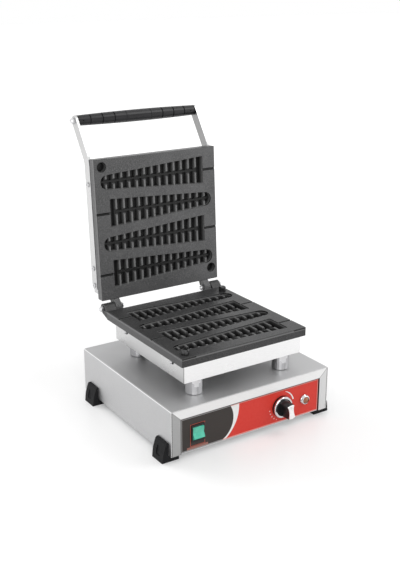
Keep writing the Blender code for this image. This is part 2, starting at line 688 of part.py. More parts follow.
def mould_cutter():
    """The batter's form as (distance from the tip, side, depth): cells between rounded finger ribs."""
    wave = [(-OVERRUN, -OVERRUN), (-OVERRUN, MOULD_DEPTH)]
    for s in rib_places():
        wave += [(s - RIB_FOOT_HALF, MOULD_DEPTH), (s - RIB_SHOULDER_HALF, RIB_FLANK_DROP),
                 (s - RIB_CREST_HALF, RIB_SHOULDER_DROP), (s, RIB_TOP_DROP),
                 (s + RIB_CREST_HALF, RIB_SHOULDER_DROP), (s + RIB_SHOULDER_HALF, RIB_FLANK_DROP),
                 (s + RIB_FOOT_HALF, MOULD_DEPTH)]
    wave += [(MOULD_LENGTH + OVERRUN, MOULD_DEPTH), (MOULD_LENGTH + OVERRUN, -OVERRUN)]
    cells = prism(wave, "Y", -MOULD_END_WIDTH, MOULD_END_WIDTH)

    slope = MOULD_DRAFT / MOULD_DEPTH
    levels = (-OVERRUN / 2, MOULD_DEPTH + OVERRUN)
    walls = loft([[(s, v, d) for s, v in mould_outline(slope * d)] for d in levels])
    cells = boolean(cells, [walls], "INTERSECT")

    last = rib_places()[-1]
    spine = [(-SPINE_HALF, SPINE_DROP - OVERRUN), (SPINE_HALF, SPINE_DROP - OVERRUN),
             (SPINE_FOOT_HALF, MOULD_DEPTH + OVERRUN), (-SPINE_FOOT_HALF, MOULD_DEPTH + OVERRUN)]
    cells = cut(cells, prism(spine, "X", -OVERRUN, last + RIB_CREST_HALF))
    channel = [(-CHANNEL_HALF, 0), (CHANNEL_HALF, 0), (CHANNEL_HALF, RIB_TOP_DROP),
               (CHANNEL_MIDDLE_HALF, CHANNEL_MIDDLE_DROP), (CHANNEL_FLOOR_HALF, SPINE_DROP),
               (-CHANNEL_FLOOR_HALF, SPINE_DROP), (-CHANNEL_MIDDLE_HALF, CHANNEL_MIDDLE_DROP),
               (-CHANNEL_HALF, RIB_TOP_DROP)]
    return fused(cells, prism(channel, "X", CHANNEL_TIP_INSET, last + RIB_PITCH / 2))


def plate_slab():
    """Cast slab with round corners and a broken edge round its cooking face, as (x, u, depth)."""
    rings = []
    for inset, depth in ((PLATE_EDGE, 0), (0, PLATE_EDGE), (0, PLATE_THICKNESS)):
        outline = rounded_rectangle((inset - PLATE_SIDE, PLATE_REAR + inset),
                                    (PLATE_SIDE - inset, PLATE_FAR - inset), PLATE_CORNER - inset)
        rings.append([(x, u, depth) for x, u in outline])
    return loft(rings)


def plate_bosses(places, side, depth):
    """Cast blocks on the underside that take the side screws."""
    bosses = []
    for u in places:
        for hand in (-1, 1):
            near, far = sorted((hand * side, hand * (side - BOSS_DEPTH)))
            bosses.append(box((near, u - BOSS_WIDTH / 2, PLATE_THICKNESS - OVERRUN),
                              (far, u + BOSS_WIDTH / 2, depth)))
    return bosses


def lug(inner, outer):
    """Knuckle about the hinge axis, joined to the plate's rear edge, as (x, u, depth)."""
    outline = [(PLATE_REAR + LUG_BITE, LUG_INSET), (PLATE_REAR, LUG_INSET),
               *[(u, depth) for u, depth in arc((0, 0), KNUCKLE_RADIUS, -50, -260, 12)],
               (PLATE_REAR, PLATE_THICKNESS - LUG_INSET),
               (PLATE_REAR + LUG_BITE, PLATE_THICKNESS - LUG_INSET)]
    return prism(outline, "X", inner, outer)


def stop_heel(inner, outer):
    """Heel of a lid lug that meets the lower plate's rear face when the lid is open."""
    face = GAP - PLATE_REAR
    rest = [(face, 0), (face, -HEEL_DROP), (-KNUCKLE_RADIUS / 2, -KNUCKLE_RADIUS * 0.8), (0, 0)]
    outline = [(y * math.sin(LID_LEAN) + z * math.cos(LID_LEAN),
                y * math.cos(LID_LEAN) - z * math.sin(LID_LEAN)) for y, z in rest]
    return prism(outline, "X", inner, outer)


def cooking_plate(lug_inner, lug_outer, bosses, extras, cuts):
    """A ribbed plate as (x, u, depth), with its lugs, bosses and further cuts."""
    body = plate_slab()
    solids = list(bosses)
    for low, high in ((lug_inner, lug_outer), (-lug_outer, -lug_inner)):
        solids.append(lug(low, high))
    solids += extras
    body = fused(body, *solids)

    moulds = []
    grooves = []
    for i in range(MOULD_COUNT):
        u = MOULD_MIDDLE + ((MOULD_COUNT - 1) / 2 - i) * MOULD_PITCH
        hand = 1 if i % 2 == 0 else -1
        cutter = moved(mould_cutter(), -MOULD_TIP, 0, 0)
        groove = rod(STICK_RADIUS, MOULD_END - MOULD_DEPTH / 2, PLATE_SIDE + OVERRUN, SMALL_STEPS)
        aimed(groove, "+X")
        if hand < 0:
            cutter = mirrored(cutter)
            groove = mirrored(groove)
        moulds.append(moved(cutter, 0, u, 0))
        grooves.append(moved(groove, 0, u, 0))
    bore_radius = PIN_RADIUS + PIN_PLAY
    bores = [aimed(rod(bore_radius, -PLATE_SIDE - OVERRUN, PLATE_SIDE + OVERRUN, ROUND_STEPS), "+X")]
    return cut(body, *moulds, *grooves, *bores, *cuts)


def as_lower(shape):
    """From (x, u, depth) to hinge coordinates, cooking face up."""
    bmesh.ops.transform(shape, matrix=Matrix(((1, 0, 0, 0), (0, -1, 0, 0), (0, 0, -1, 0), (0, 0, 0, 1))),
                        verts=shape.verts)
    return shape


def as_upper(shape):
    """From (x, u, depth) to lid coordinates, cooking face forward; this swaps two axes."""
    bmesh.ops.transform(shape, matrix=Matrix(((1, 0, 0, 0), (0, 0, 1, 0), (0, 1, 0, 0), (0, 0, 0, 1))),
                        verts=shape.verts)
    bmesh.ops.reverse_faces(shape, faces=shape.faces)
    return shape


def peg_places():
    return [(-PEG_SIDE, PEG_FAR), (PEG_SIDE, PEG_NEAR)]


def side_screw_holes(places, depth, side, radius, bite):
    holes = []
    for u in places:
        for direction, hand in (("+X", 1), ("-X", -1)):
            hole = aimed(rod(radius + GAP, side - bite - GAP, side + OVERRUN, SMALL_STEPS), direction)
            holes.append(moved(hole, 0, u, depth))
    return holes


def build_plates(hinge, lid, surfaces):
    """The two cast plates with their moulds, pegs and hinge lugs."""
    iron = surfaces["cast_coating"]
    screw_depth = PLATE_THICKNESS + NOTCH_DROP
    boss_side = HOUSING_SIDE - SHEET - GAP
    bosses = plate_bosses(PLATE_SCREW_PLACES, boss_side, screw_depth + BOSS_WIDTH / 2)
    holes = side_screw_holes(PLATE_SCREW_PLACES, screw_depth, boss_side,
                             PLATE_SCREW_RADIUS, PLATE_SCREW_BITE)
    holes += [moved(rod(PEG_STEM_RADIUS + GAP, -OVERRUN, PEG_STEM_LENGTH + GAP, SMALL_STEPS), x, u)
              for x, u in peg_places()]
    holes.append(clamp_screw_hole(PLATE_THICKNESS - CLAMP_SCREW_BITE - GAP, PLATE_THICKNESS + OVERRUN))
    lower = cooking_plate(LOWER_LUG_INNER, LOWER_LUG_OUTER, bosses, [], holes)
    add_piece("lower_plate", as_lower(lower), iron, hinge)

    boss_side = COVER_SIDE - SHEET - GAP
    bosses = plate_bosses(ARM_SCREW_PLACES, boss_side, ARM_BACKSET + BOSS_WIDTH / 2)
    holes = side_screw_holes(ARM_SCREW_PLACES, ARM_BACKSET, boss_side,
                             ARM_SCREW_RADIUS, boss_side - ARM_SCREW_TIP)
    for x, u in peg_places():
        radius = PEG_RADIUS + PEG_HOLE_PLAY
        hole = turned([(0, -OVERRUN), (radius + PEG_HOLE_CHAMFER + OVERRUN, -OVERRUN),
                       (radius, PEG_HOLE_CHAMFER), (radius, PEG_HEIGHT + OVERRUN), (0, PEG_HEIGHT + OVERRUN)])
        holes.append(moved(hole, x, u))
    holes.append(clamp_screw_hole(PLATE_THICKNESS - CLAMP_SCREW_BITE - GAP, PLATE_THICKNESS + OVERRUN))
    heels = [stop_heel(UPPER_LUG_INNER, UPPER_LUG_OUTER), stop_heel(-UPPER_LUG_OUTER, -UPPER_LUG_INNER)]
    upper = cooking_plate(UPPER_LUG_INNER, UPPER_LUG_OUTER, bosses, heels, holes)
    add_piece("upper_plate", as_upper(upper), iron, lid)

    for name, (x, u) in zip(("locating_peg_left", "locating_peg_right"), peg_places()):
        peg = turned([(0, GAP - PEG_STEM_LENGTH), (PEG_STEM_RADIUS, GAP - PEG_STEM_LENGTH),
                      (PEG_STEM_RADIUS, GAP), (PEG_RADIUS, GAP), (PEG_RADIUS, PEG_HEIGHT - PEG_CHAMFER),
                      (PEG_RADIUS - PEG_CHAMFER, PEG_HEIGHT), (0, PEG_HEIGHT)])
        slot = box((-PEG_SLOT_WIDTH / 2, -PEG_RADIUS - OVERRUN, PEG_HEIGHT - PEG_SLOT_DEPTH),
                   (PEG_SLOT_WIDTH / 2, PEG_RADIUS + OVERRUN, PEG_HEIGHT + OVERRUN))
        add_piece(name, cut(peg, slot), iron, hinge, (x, -u, 0))

    seat = HOUSING_SIDE + PLATE_SCREW_STAND
    face = HOUSING_SIDE - SHEET - GAP
    top = seat + PLATE_SCREW_HEAD_HEIGHT
    profile = [(0, face - PLATE_SCREW_BITE), (PLATE_SCREW_RADIUS, face - PLATE_SCREW_BITE),
               (PLATE_SCREW_RADIUS, face + GAP), (PLATE_SCREW_NECK_RADIUS, face + GAP),
               (PLATE_SCREW_NECK_RADIUS, seat), (PLATE_SCREW_HEAD_RADIUS, seat),
               (PLATE_SCREW_HEAD_RADIUS, (seat + top) / 2), (PLATE_SCREW_HEAD_RADIUS / 2, top), (0, top)]
    for end, u in zip(("rear", "front"), PLATE_SCREW_PLACES):
        for side, direction in (("left", "-X"), ("right", "+X")):
            screw = aimed(turned(profile, SMALL_STEPS), direction)
            add_piece(f"plate_screw_{end}_{side}", screw, surfaces["zinc"], hinge, (0, -u, -screw_depth))


def dome_head(seat):
    """Hexagon with a dome on it, along Z from its seat."""
    hex_top = seat + ACORN_HEX_HEIGHT
    dome = [(0, hex_top - OVERRUN), (ACORN_DOME_RADIUS, hex_top - OVERRUN)]
    dome += [(ACORN_DOME_RADIUS * math.cos(math.radians(angle)),
              hex_top + ACORN_DOME_HEIGHT * math.sin(math.radians(angle))) for angle in (0, 30, 60)]
    dome.append((0, hex_top + ACORN_DOME_HEIGHT))
    return fused(hexagon(ACORN_WIDTH, seat, hex_top), turned(dome, SMALL_STEPS))


def dome_nut(seat, radius, depth):
    """Domed nut with a blind bore for a thread of the given radius."""
    return cut(dome_head(seat), rod(radius + GAP, seat - OVERRUN, seat + depth + GAP, SMALL_STEPS))


def build_hinges(hinge, surfaces):
    """Two hinge pins with domed heads, each held by a domed nut at its outer end."""
    outer = LOWER_LUG_OUTER + GAP
    inner = UPPER_LUG_INNER - GAP
    pin = [(0, inner - OVERRUN), (PIN_RADIUS, inner - OVERRUN), (PIN_RADIUS, outer),
           (PIN_THREAD_RADIUS, outer), (PIN_THREAD_RADIUS, outer + PIN_THREAD_LENGTH),
           (0, outer + PIN_THREAD_LENGTH)]
    for side, direction in (("left", "-X"), ("right", "+X")):
        head = aimed(dome_head(-inner), "-Z")
        body = fused(head, turned(pin))
        add_piece("hinge_pin_" + side, aimed(body, direction), surfaces["zinc"], hinge)
        nut = dome_nut(outer + GAP, PIN_THREAD_RADIUS, PIN_THREAD_LENGTH)
        add_piece("hinge_nut_" + side, aimed(nut, direction), surfaces["chrome"], hinge)


def element_points(depth, tail):
    """Serpentine of a tubular heater as (x, u, depth), with both ends turned away from the plate."""
    turn = ELEMENT_TURN
    points = []
    for i in range(ELEMENT_RUNS):
        u = ELEMENT_NEAR + i * 2 * turn
        hand = 1 if i % 2 == 0 else -1
        points += [(-hand * ELEMENT_SIDE, u), (hand * ELEMENT_SIDE, u)]
        if i < ELEMENT_RUNS - 1:
            bend = arc((0, 0), turn, -90, 90, 6)
            points += [(hand * (ELEMENT_SIDE + x), u + turn + y) for x, y in bend[1:-1]]
    route = [(x, u, depth) for x, u in points]
    first, last = route[0], route[-1]
    start = [(first[0], first[1], depth + tail), (first[0], first[1], depth + tail / 3)]
    finish_points = [(last[0], last[1], depth + tail / 3), (last[0], last[1], depth + tail)]
    step = ELEMENT_RADIUS * 2
    route[0] = (first[0] + math.copysign(step, -first[0]), first[1], depth)
    route[-1] = (last[0] + math.copysign(step, -last[0]), last[1], depth)
    return start + route + finish_points


def tube(points, radius):
    """Closed tube of six sides along a route."""
    curve = bpy.data.curves.new("route", "CURVE")
    curve.dimensions = "3D"
    curve.bevel_depth = radius
    curve.bevel_resolution = 1
    curve.use_fill_caps = True
    spline = curve.splines.new("POLY")
    spline.points.add(len(points) - 1)
    for target, point in zip(spline.points, points):
        target.co = (*point, 1)
    obj = bpy.data.objects.new("route", curve)
    bpy.context.scene.collection.objects.link(obj)
    mesh = bpy.data.meshes.new_from_object(obj.evaluated_get(bpy.context.evaluated_depsgraph_get()))
    shape = bmesh.new()
    shape.from_mesh(mesh)
    bmesh.ops.remove_doubles(shape, verts=shape.verts, dist=MERGE)
    bmesh.ops.recalc_face_normals(shape, faces=shape.faces)
    bpy.data.meshes.remove(mesh)
    bpy.data.objects.remove(obj, do_unlink=True)
    bpy.data.curves.remove(curve)
    return shape


def clamp_screw_spot():
    """Middle of the heater, between its two inner runs, where the clamp sheet's screw goes."""
    return 0, ELEMENT_NEAR + (ELEMENT_RUNS - 1) * ELEMENT_TURN


def clamp_screw_hole(low, high):
    return moved(rod(CLAMP_SCREW_RADIUS + GAP, low, high, SMALL_STEPS), *clamp_screw_spot())


def build_heaters(hinge, lid, surfaces):
    """Under each plate lie a tubular heater, the sheet that clamps it and that sheet's screws."""
    middle = PLATE_THICKNESS + GAP + ELEMENT_RADIUS
    sheet_low = middle + ELEMENT_RADIUS + GAP
    sheet_high = sheet_low + CLAMP_SHEET
    side = ELEMENT_SIDE - CLAMP_MARGIN
    near = ELEMENT_NEAR - ELEMENT_RADIUS - CLAMP_MARGIN
    far = ELEMENT_NEAR + 2 * (ELEMENT_RUNS - 1) * ELEMENT_TURN + ELEMENT_RADIUS + CLAMP_MARGIN
    for prefix, parent, place in (("lower", hinge, as_lower), ("upper", lid, as_upper)):
        heater = tube(element_points(middle, ELEMENT_TAIL), ELEMENT_RADIUS)
        add_piece(prefix + "_heater", place(heater), surfaces["heater"], parent)
        sheet = box((-side + CLAMP_MARGIN, near, sheet_low), (side - CLAMP_MARGIN, far, sheet_high))
        sheet = cut(sheet, clamp_screw_hole(sheet_low - OVERRUN, sheet_high + OVERRUN))
        add_piece(prefix + "_clamp_sheet", place(sheet), surfaces["galvanised"], parent)
        seat = sheet_high + GAP
        top = seat + CLAMP_SCREW_HEAD_HEIGHT
        tip = PLATE_THICKNESS - CLAMP_SCREW_BITE
        profile = [(0, tip), (CLAMP_SCREW_RADIUS, tip), (CLAMP_SCREW_RADIUS, seat),
                   (CLAMP_SCREW_HEAD_RADIUS, seat), (CLAMP_SCREW_HEAD_RADIUS, top), (0, top)]
        screw = moved(turned(profile, SMALL_STEPS), *clamp_screw_spot())
        add_piece(prefix + "_clamp_screw", place(screw), surfaces["zinc"], parent)


def arm_outline():
    """Flat bar as (distance behind the cooking face, distance from the hinge), bent back to the grip."""
    half = ARM_HALF_WIDTH
    turn = math.atan2(GRIP_BACKSET - ARM_BACKSET, GRIP_REACH - ARM_BEND)
    centre = (ARM_BACKSET + ARM_BEND_RADIUS, ARM_BEND - ARM_BEND_RADIUS * math.tan(turn / 2))
    bend = math.degrees(turn)
    return (arc((ARM_BACKSET, ARM_FOOT + half), half, 180, 360, 8)
            + arc(centre, ARM_BEND_RADIUS - half, 180, 180 - bend, 4)
            + arc((GRIP_BACKSET, GRIP_REACH), half, -bend, 180 - bend, 8)
            + arc(centre, ARM_BEND_RADIUS + half, 180 - bend, 180, 4))


def grip_shape():
    """Barrel grip along Z: short lengths set off by grooves, fine lines beside the long middle one."""
    end = ARM_INNER - GAP

    def radius(z):
        return GRIP_END_RADIUS + (GRIP_MIDDLE_RADIUS - GRIP_END_RADIUS) * (1 - (z / end) ** 2)

    middle = end - GRIP_SHORT_COUNT * GRIP_SHORT_LENGTH
    marks = [(middle + i * GRIP_SHORT_LENGTH, GRIP_GROOVE_WIDTH / 2, GRIP_GROOVE_DEPTH)
             for i in range(1, GRIP_SHORT_COUNT)]
    marks.append((middle, GRIP_LINE_WIDTH / 2, GRIP_LINE_DEPTH))
    both = sorted([(-z, half, depth) for z, half, depth in marks] + marks)
    bore = TIE_ROD_RADIUS + GAP
    profile = [(bore, -end), (radius(end) - GRIP_LINE_DEPTH, -end), (radius(end), GRIP_LINE_DEPTH - end)]
    for z, half, depth in both:
        if z == middle:
            profile.append((radius(0), 0))
        profile += [(radius(z - half), z - half), (radius(z) - depth, z - half / 2),
                    (radius(z) - depth, z + half / 2), (radius(z + half), z + half)]
    profile += [(radius(end), end - GRIP_LINE_DEPTH), (radius(end) - GRIP_LINE_DEPTH, end), (bore, end)]
    return turned(profile, GRIP_STEPS, ring=True)


def build_lid(lid, surfaces):
    """Cover behind the upper plate, two flat arms and the grip on its tie rod between them."""
    near = PLATE_THICKNESS + GAP
    far = PLATE_THICKNESS + COVER_DEPTH
    bottom, top = PLATE_REAR + COVER_MARGIN, PLATE_FAR - COVER_MARGIN
    outline = [(-COVER_SIDE, near), (COVER_SIDE, near),
               *arc((COVER_SIDE - CASE_BEND, far - CASE_BEND), CASE_BEND, 0, 90, 3),
               *arc((CASE_BEND - COVER_SIDE, far - CASE_BEND), CASE_BEND, 90, 180, 3)]
    cover = prism(outline, "Z", bottom, top)
    room = box((SHEET - COVER_SIDE, near - OVERRUN, bottom + SHEET),
               (COVER_SIDE - SHEET, far - SHEET, top - SHEET))
    holes = []
    for u in ARM_SCREW_PLACES:
        hole = rod(ARM_SCREW_RADIUS + GAP, -ARM_INNER, ARM_INNER, SMALL_STEPS)
        holes.append(moved(aimed(hole, "+X"), 0, ARM_BACKSET, u))
    add_piece("upper_cover", cut(cover, room, *holes), surfaces["steel"], lid)

    for name, hand in (("arm_left", -1), ("arm_right", 1)):
        arm = prism(arm_outline(), "X", ARM_INNER, ARM_OUTER)
        holes = [moved(aimed(rod(ARM_SCREW_RADIUS + GAP, PLATE_SIDE - PLATE_EDGE - ARM_THICKNESS,
                                 PLATE_SIDE + ARM_THICKNESS, SMALL_STEPS), "+X"), 0, ARM_BACKSET, u)
                 for u in ARM_SCREW_PLACES]
        tie_hole = rod(TIE_ROD_RADIUS + GAP, PLATE_SIDE - PLATE_EDGE - ARM_THICKNESS,
                       PLATE_SIDE + ARM_THICKNESS, SMALL_STEPS)
        holes.append(moved(aimed(tie_hole, "+X"), 0, GRIP_BACKSET, GRIP_REACH))
        arm = cut(arm, *holes)
        if hand < 0:
            arm = mirrored(arm)
        add_piece(name, arm, surfaces["brushed"], lid)

    seat = ARM_OUTER + GAP
    top = seat + ARM_SCREW_HEAD_HEIGHT
    head = ARM_SCREW_HEAD_RADIUS
    profile = [(0, ARM_SCREW_TIP), (ARM_SCREW_RADIUS, ARM_SCREW_TIP), (ARM_SCREW_RADIUS, seat), (head, seat),
               (head * 0.95, seat + ARM_SCREW_HEAD_HEIGHT / 2),
               (head * 0.75, top - ARM_SCREW_HEAD_HEIGHT / 6),
               (ARM_SCREW_SOCKET * 0.8, top), (0, top)]
    for end, u in zip(("low", "middle", "high"), ARM_SCREW_PLACES):
        for side, direction in (("left", "-X"), ("right", "+X")):
            socket = hexagon(ARM_SCREW_SOCKET, top - ARM_SCREW_SOCKET_DEPTH, top + OVERRUN)
            screw = aimed(cut(turned(profile, SMALL_STEPS), socket), direction)
            add_piece(f"arm_screw_{end}_{side}", screw, surfaces["zinc"], lid, (0, ARM_BACKSET, u))

    grip = aimed(grip_shape(), "+X")
    hole_side = ARM_INNER - GAP - GRIP_HOLE_INSET
    holes = []
    for hand in (-1, 1):
        hole = rod(GRIP_HOLE_RADIUS, GRIP_END_RADIUS / 2, GRIP_MIDDLE_RADIUS + OVERRUN, SMALL_STEPS)
        holes.append(moved(aimed(hole, "-Y"), hand * hole_side, 0, 0))
    add_piece("handle_grip", cut(grip, *holes), surfaces["grip"], lid, (0, GRIP_BACKSET, GRIP_REACH))
    end = ARM_OUTER + 2 * GAP + PIN_THREAD_LENGTH
    tie = aimed(rod(TIE_ROD_RADIUS, -end, end, SMALL_STEPS), "+X")
    add_piece("handle_tie_rod", tie, surfaces["zinc"], lid, (0, GRIP_BACKSET, GRIP_REACH))
    for side, direction in (("left", "-X"), ("right", "+X")):
        nut = aimed(dome_nut(ARM_OUTER + GAP, TIE_ROD_RADIUS, PIN_THREAD_LENGTH + GAP), direction)
        add_piece("handle_nut_" + side, nut, surfaces["chrome"], lid, (0, GRIP_BACKSET, GRIP_REACH))


def block(width, height, low, high):
    """A rectangular block seen from the front, from low to high toward the viewer."""
    return box((-width / 2, -height / 2, low), (width / 2, height / 2, high))


def build_switch(case, surfaces):
    """Rocker switch: a snap-in body with a well, and the rocker on its two stubs."""
    face = -PANEL_RECESS
    front = face + SWITCH_BEZEL_RISE
    pivot = front - ROCKER_PIVOT_DEPTH
    body = fused(block(SWITCH_BEZEL_WIDTH, SWITCH_BEZEL_HEIGHT, face + GAP, front),
                 block(SWITCH_BODY_WIDTH, SWITCH_BODY_HEIGHT, face - SWITCH_BODY_DEPTH,
                       face + SWITCH_BEZEL_RISE / 2))
    well = block(ROCKER_WIDTH + 2 * ROCKER_PLAY, 2 * (ROCKER_RADIUS + ROCKER_PLAY),
                 front - SWITCH_WELL_DEPTH, front + OVERRUN)
    reach = ROCKER_WIDTH / 2 + ROCKER_STUB_LENGTH
    sockets = rod(ROCKER_STUB_RADIUS + GAP / 2, -reach - GAP / 2, reach + GAP / 2, SMALL_STEPS)
    moved(aimed(sockets, "+X"), 0, 0, pivot)
    body = aimed(cut(body, well, sockets), "-Y")
    add_piece("switch_body", body, surfaces["black"], case, (SWITCH_SIDE, 0, CONTROL_LINE))

    top_angle = math.degrees(math.asin(ROCKER_PROUD / ROCKER_RADIUS))
    back_angle = math.degrees(math.asin(ROCKER_BACK / ROCKER_RADIUS))
    outline = [(0, ROCKER_WAIST), *reversed(arc((0, 0), ROCKER_RADIUS, -back_angle, top_angle, 6)),
               *reversed(arc((0, 0), ROCKER_RADIUS, 180 - top_angle, 180 + back_angle, 6))]
    rocker = prism(outline, "X", -ROCKER_WIDTH / 2, ROCKER_WIDTH / 2)
    stubs = aimed(rod(ROCKER_STUB_RADIUS, -reach, reach, SMALL_STEPS), "+X")
    axis = add_empty("rocker_axis", (SWITCH_SIDE, -pivot, CONTROL_LINE), -ROCKER_TILT, case)
    add_piece("rocker_button", aimed(fused(rocker, stubs), "-Y"), surfaces["rocker"], axis)


def knob_bar_outline(share, inset=0):
    """Waisted bar with round ends, seen from the front."""
    radius = KNOB_RADIUS - KNOB_RING_WIDTH - GAP - KNOB_BAR_INSET
    end_angle = math.degrees(math.asin(KNOB_BAR_END_HALF / radius))
    height = math.sqrt(radius ** 2 - KNOB_BAR_END_HALF ** 2)
    side = []
    for i in range(1, KNOB_SIDE_STEPS):
        y = height * (2 * i / KNOB_SIDE_STEPS - 1)
        x = KNOB_BAR_WAIST_HALF + (KNOB_BAR_END_HALF - KNOB_BAR_WAIST_HALF) * (y / height) ** 2
        side.append((x, y))
    half = side + arc((0, 0), radius, 90 - end_angle, 90 + end_angle, 6)
    outline = half + [(-x, -y) for x, y in half]
    shrink = share - inset / radius
    return [(x * shrink, y * shrink) for x, y in outline]


def build_thermostat(case, surfaces):
    """Thermostat behind the panel and the knob that its shaft carries."""
    face = -PANEL_RECESS
    behind = face - SHEET - GAP
    body = fused(rod(THERMOSTAT_RADIUS, behind - THERMOSTAT_DEPTH, behind),
                 rod(THERMOSTAT_NECK_RADIUS, behind - GAP, face - GAP, SMALL_STEPS))
    shaft_base = face - SHAFT_SEAT
    body = cut(body, rod(SHAFT_RADIUS + GAP, shaft_base, face + OVERRUN, SMALL_STEPS))
    place = (KNOB_SIDE, 0, CONTROL_LINE)
    add_piece("thermostat_body", aimed(body, "-Y"), surfaces["galvanised"], case, place)

    axis = add_empty("knob_axis", (KNOB_SIDE, 0, CONTROL_LINE), 0, case)
    back = face + GAP
    shaft = rod(SHAFT_RADIUS, shaft_base + GAP, back + SHAFT_GRIP - GAP, SMALL_STEPS)
    add_piece("thermostat_shaft", aimed(shaft, "-Y"), surfaces["zinc"], axis)

    core = KNOB_RADIUS - KNOB_RING_WIDTH - GAP
    flange_top = face + KNOB_FLANGE
    round_edge = KNOB_BAR_INSET
    knob = turned([(0, back), (KNOB_RADIUS, back), (KNOB_RADIUS, flange_top), (core, flange_top),
                   (core, KNOB_FACE - round_edge), (core - round_edge, KNOB_FACE),
                   (0, KNOB_FACE)], KNOB_STEPS)
    bar_top = KNOB_FACE + KNOB_BAR_RISE
    levels = ((1, KNOB_FACE - OVERRUN), (KNOB_BAR_TAPER_SHARE, bar_top))
    bar = loft([[(x, y, level) for x, y in knob_bar_outline(share)] for share, level in levels])
    hole = rod(SHAFT_RADIUS + GAP, back - OVERRUN, back + SHAFT_GRIP, SMALL_STEPS)
    knob = cut(fused(knob, bar), hole)
    cap_low = bar_top + GAP
    edge = KNOB_CAP_THICKNESS / 4
    levels = ((0, cap_low), (0, cap_low + KNOB_CAP_THICKNESS - edge), (edge, cap_low + KNOB_CAP_THICKNESS))
    cap = loft([[(x, y, level) for x, y in knob_bar_outline(KNOB_BAR_TAPER_SHARE, KNOB_CAP_INSET + inset)]
                for inset, level in levels])
    mark = box((-KNOB_MARK_WIDTH / 2, KNOB_MARK_RISE - KNOB_MARK_LENGTH / 2, KNOB_FRONT - KNOB_MARK_DEPTH),
               (KNOB_MARK_WIDTH / 2, KNOB_MARK_RISE + KNOB_MARK_LENGTH / 2, KNOB_FRONT + OVERRUN))
    cap = cut(cap, mark)
    for shape in (knob, cap):
        turn = Matrix.Rotation(KNOB_REST_TURN, 3, "Z")
        bmesh.ops.rotate(shape, cent=(0, 0, 0), matrix=turn, verts=shape.verts)
    add_piece("thermostat_knob", aimed(knob, "-Y"), surfaces["black"], axis)
    add_piece("knob_cap", aimed(cap, "-Y"), surfaces["silver"], axis)
    inner = KNOB_RADIUS - KNOB_RING_WIDTH
    ring = turned([(inner, KNOB_RING_BASE), (KNOB_RADIUS, KNOB_RING_BASE),
                   (KNOB_RADIUS, KNOB_FACE - KNOB_RING_HEIGHT / 3),
                   (KNOB_RADIUS - KNOB_RING_WIDTH / 3, KNOB_FACE),
                   (inner, KNOB_FACE)], KNOB_STEPS, ring=True)
    add_piece("knob_ring", aimed(ring, "-Y"), surfaces["chrome"], axis)


def build_lamp(case, surfaces):
    """Pilot lamp: a bright flanged body that snaps into the panel, and its lens."""
    base = GAP - PANEL_RECESS
    top = LAMP_RISE - PANEL_RECESS
    inner = LAMP_LENS_RADIUS + GAP
    seat = top - LAMP_LENS_SEAT
    body = turned([(0, base - LAMP_BARREL_LENGTH), (LAMP_BARREL_RADIUS, base - LAMP_BARREL_LENGTH),
                   (LAMP_BARREL_RADIUS, base), (LAMP_FLANGE_RADIUS, base),
                   (LAMP_FLANGE_RADIUS, base + LAMP_RISE / 3),
                   ((LAMP_FLANGE_RADIUS + inner) / 2, top - LAMP_RISE / 8),
                   (inner, top), (inner, seat), (0, seat)])
    add_piece("pilot_lamp_body", aimed(body, "-Y"), surfaces["chrome"], case, (LAMP_SIDE, 0, CONTROL_LINE))
    dome = [(LAMP_LENS_RADIUS * math.cos(math.radians(angle)),
             top - LAMP_LENS_RISE + 2 * LAMP_LENS_RISE * math.sin(math.radians(angle)))
            for angle in (0, 30, 60, 90)]
    dome[-1] = (0, dome[-1][1])
    lens = turned([(0, seat + GAP), (LAMP_LENS_RADIUS, seat + GAP), *dome])
    add_piece("pilot_lamp_lens", aimed(lens, "-Y"), surfaces["lens"], case, (LAMP_SIDE, 0, CONTROL_LINE))


def build_mains_entry(case, surfaces):
    """Cable gland in the back wall with its nut, and the terminal block on the base pan."""
    low = -SHEET - GLAND_NUT_HEIGHT - GLAND_TAIL
    hex_top = GAP + GLAND_HEX_HEIGHT
    cap_top = hex_top + GLAND_CAP_LENGTH
    cap = turned([(0, hex_top - OVERRUN), (GLAND_CAP_RADIUS, hex_top - OVERRUN),
                  (GLAND_CAP_RADIUS, hex_top + GLAND_CAP_LENGTH / 2),
                  ((GLAND_CAP_RADIUS + GLAND_BORE) / 2, cap_top), (0, cap_top)])
    gland = fused(hexagon(GLAND_HEX_WIDTH, GAP, hex_top), cap, rod(GLAND_THREAD_RADIUS, low, hex_top - GAP))
    gland = cut(gland, rod(GLAND_BORE, low - OVERRUN, cap_top + OVERRUN))
    place = (GLAND_SIDE, CASE_DEPTH, GLAND_HEIGHT)
    add_piece("cable_gland", aimed(gland, "+Y"), surfaces["black"], case, place)
    nut_top = -SHEET - GAP
    nut = cut(hexagon(GLAND_HEX_WIDTH, nut_top - GLAND_NUT_HEIGHT, nut_top),
              rod(GLAND_THREAD_RADIUS + GAP, nut_top - GLAND_NUT_HEIGHT - OVERRUN, nut_top + OVERRUN))
    add_piece("gland_nut", aimed(nut, "+Y"), surfaces["black"], case, place)

    base = SHEET + GAP
    half = TERMINAL_LENGTH / 2
    terminal = box((-half, -TERMINAL_WIDTH / 2, base), (half, TERMINAL_WIDTH / 2, base + TERMINAL_HEIGHT))
    top = base + TERMINAL_HEIGHT
    holes = [moved(rod(TERMINAL_HOLE_RADIUS, top - TERMINAL_HOLE_DEPTH, top + OVERRUN, SMALL_STEPS),
                   i * TERMINAL_LENGTH / 3, side * TERMINAL_WIDTH / 4)
             for i in (-1, 0, 1) for side in (-1, 1)]
    add_piece("terminal_block", cut(terminal, *holes), surfaces["nylon"], case,
              (GLAND_SIDE, CASE_DEPTH - TERMINAL_SETBACK, 0))


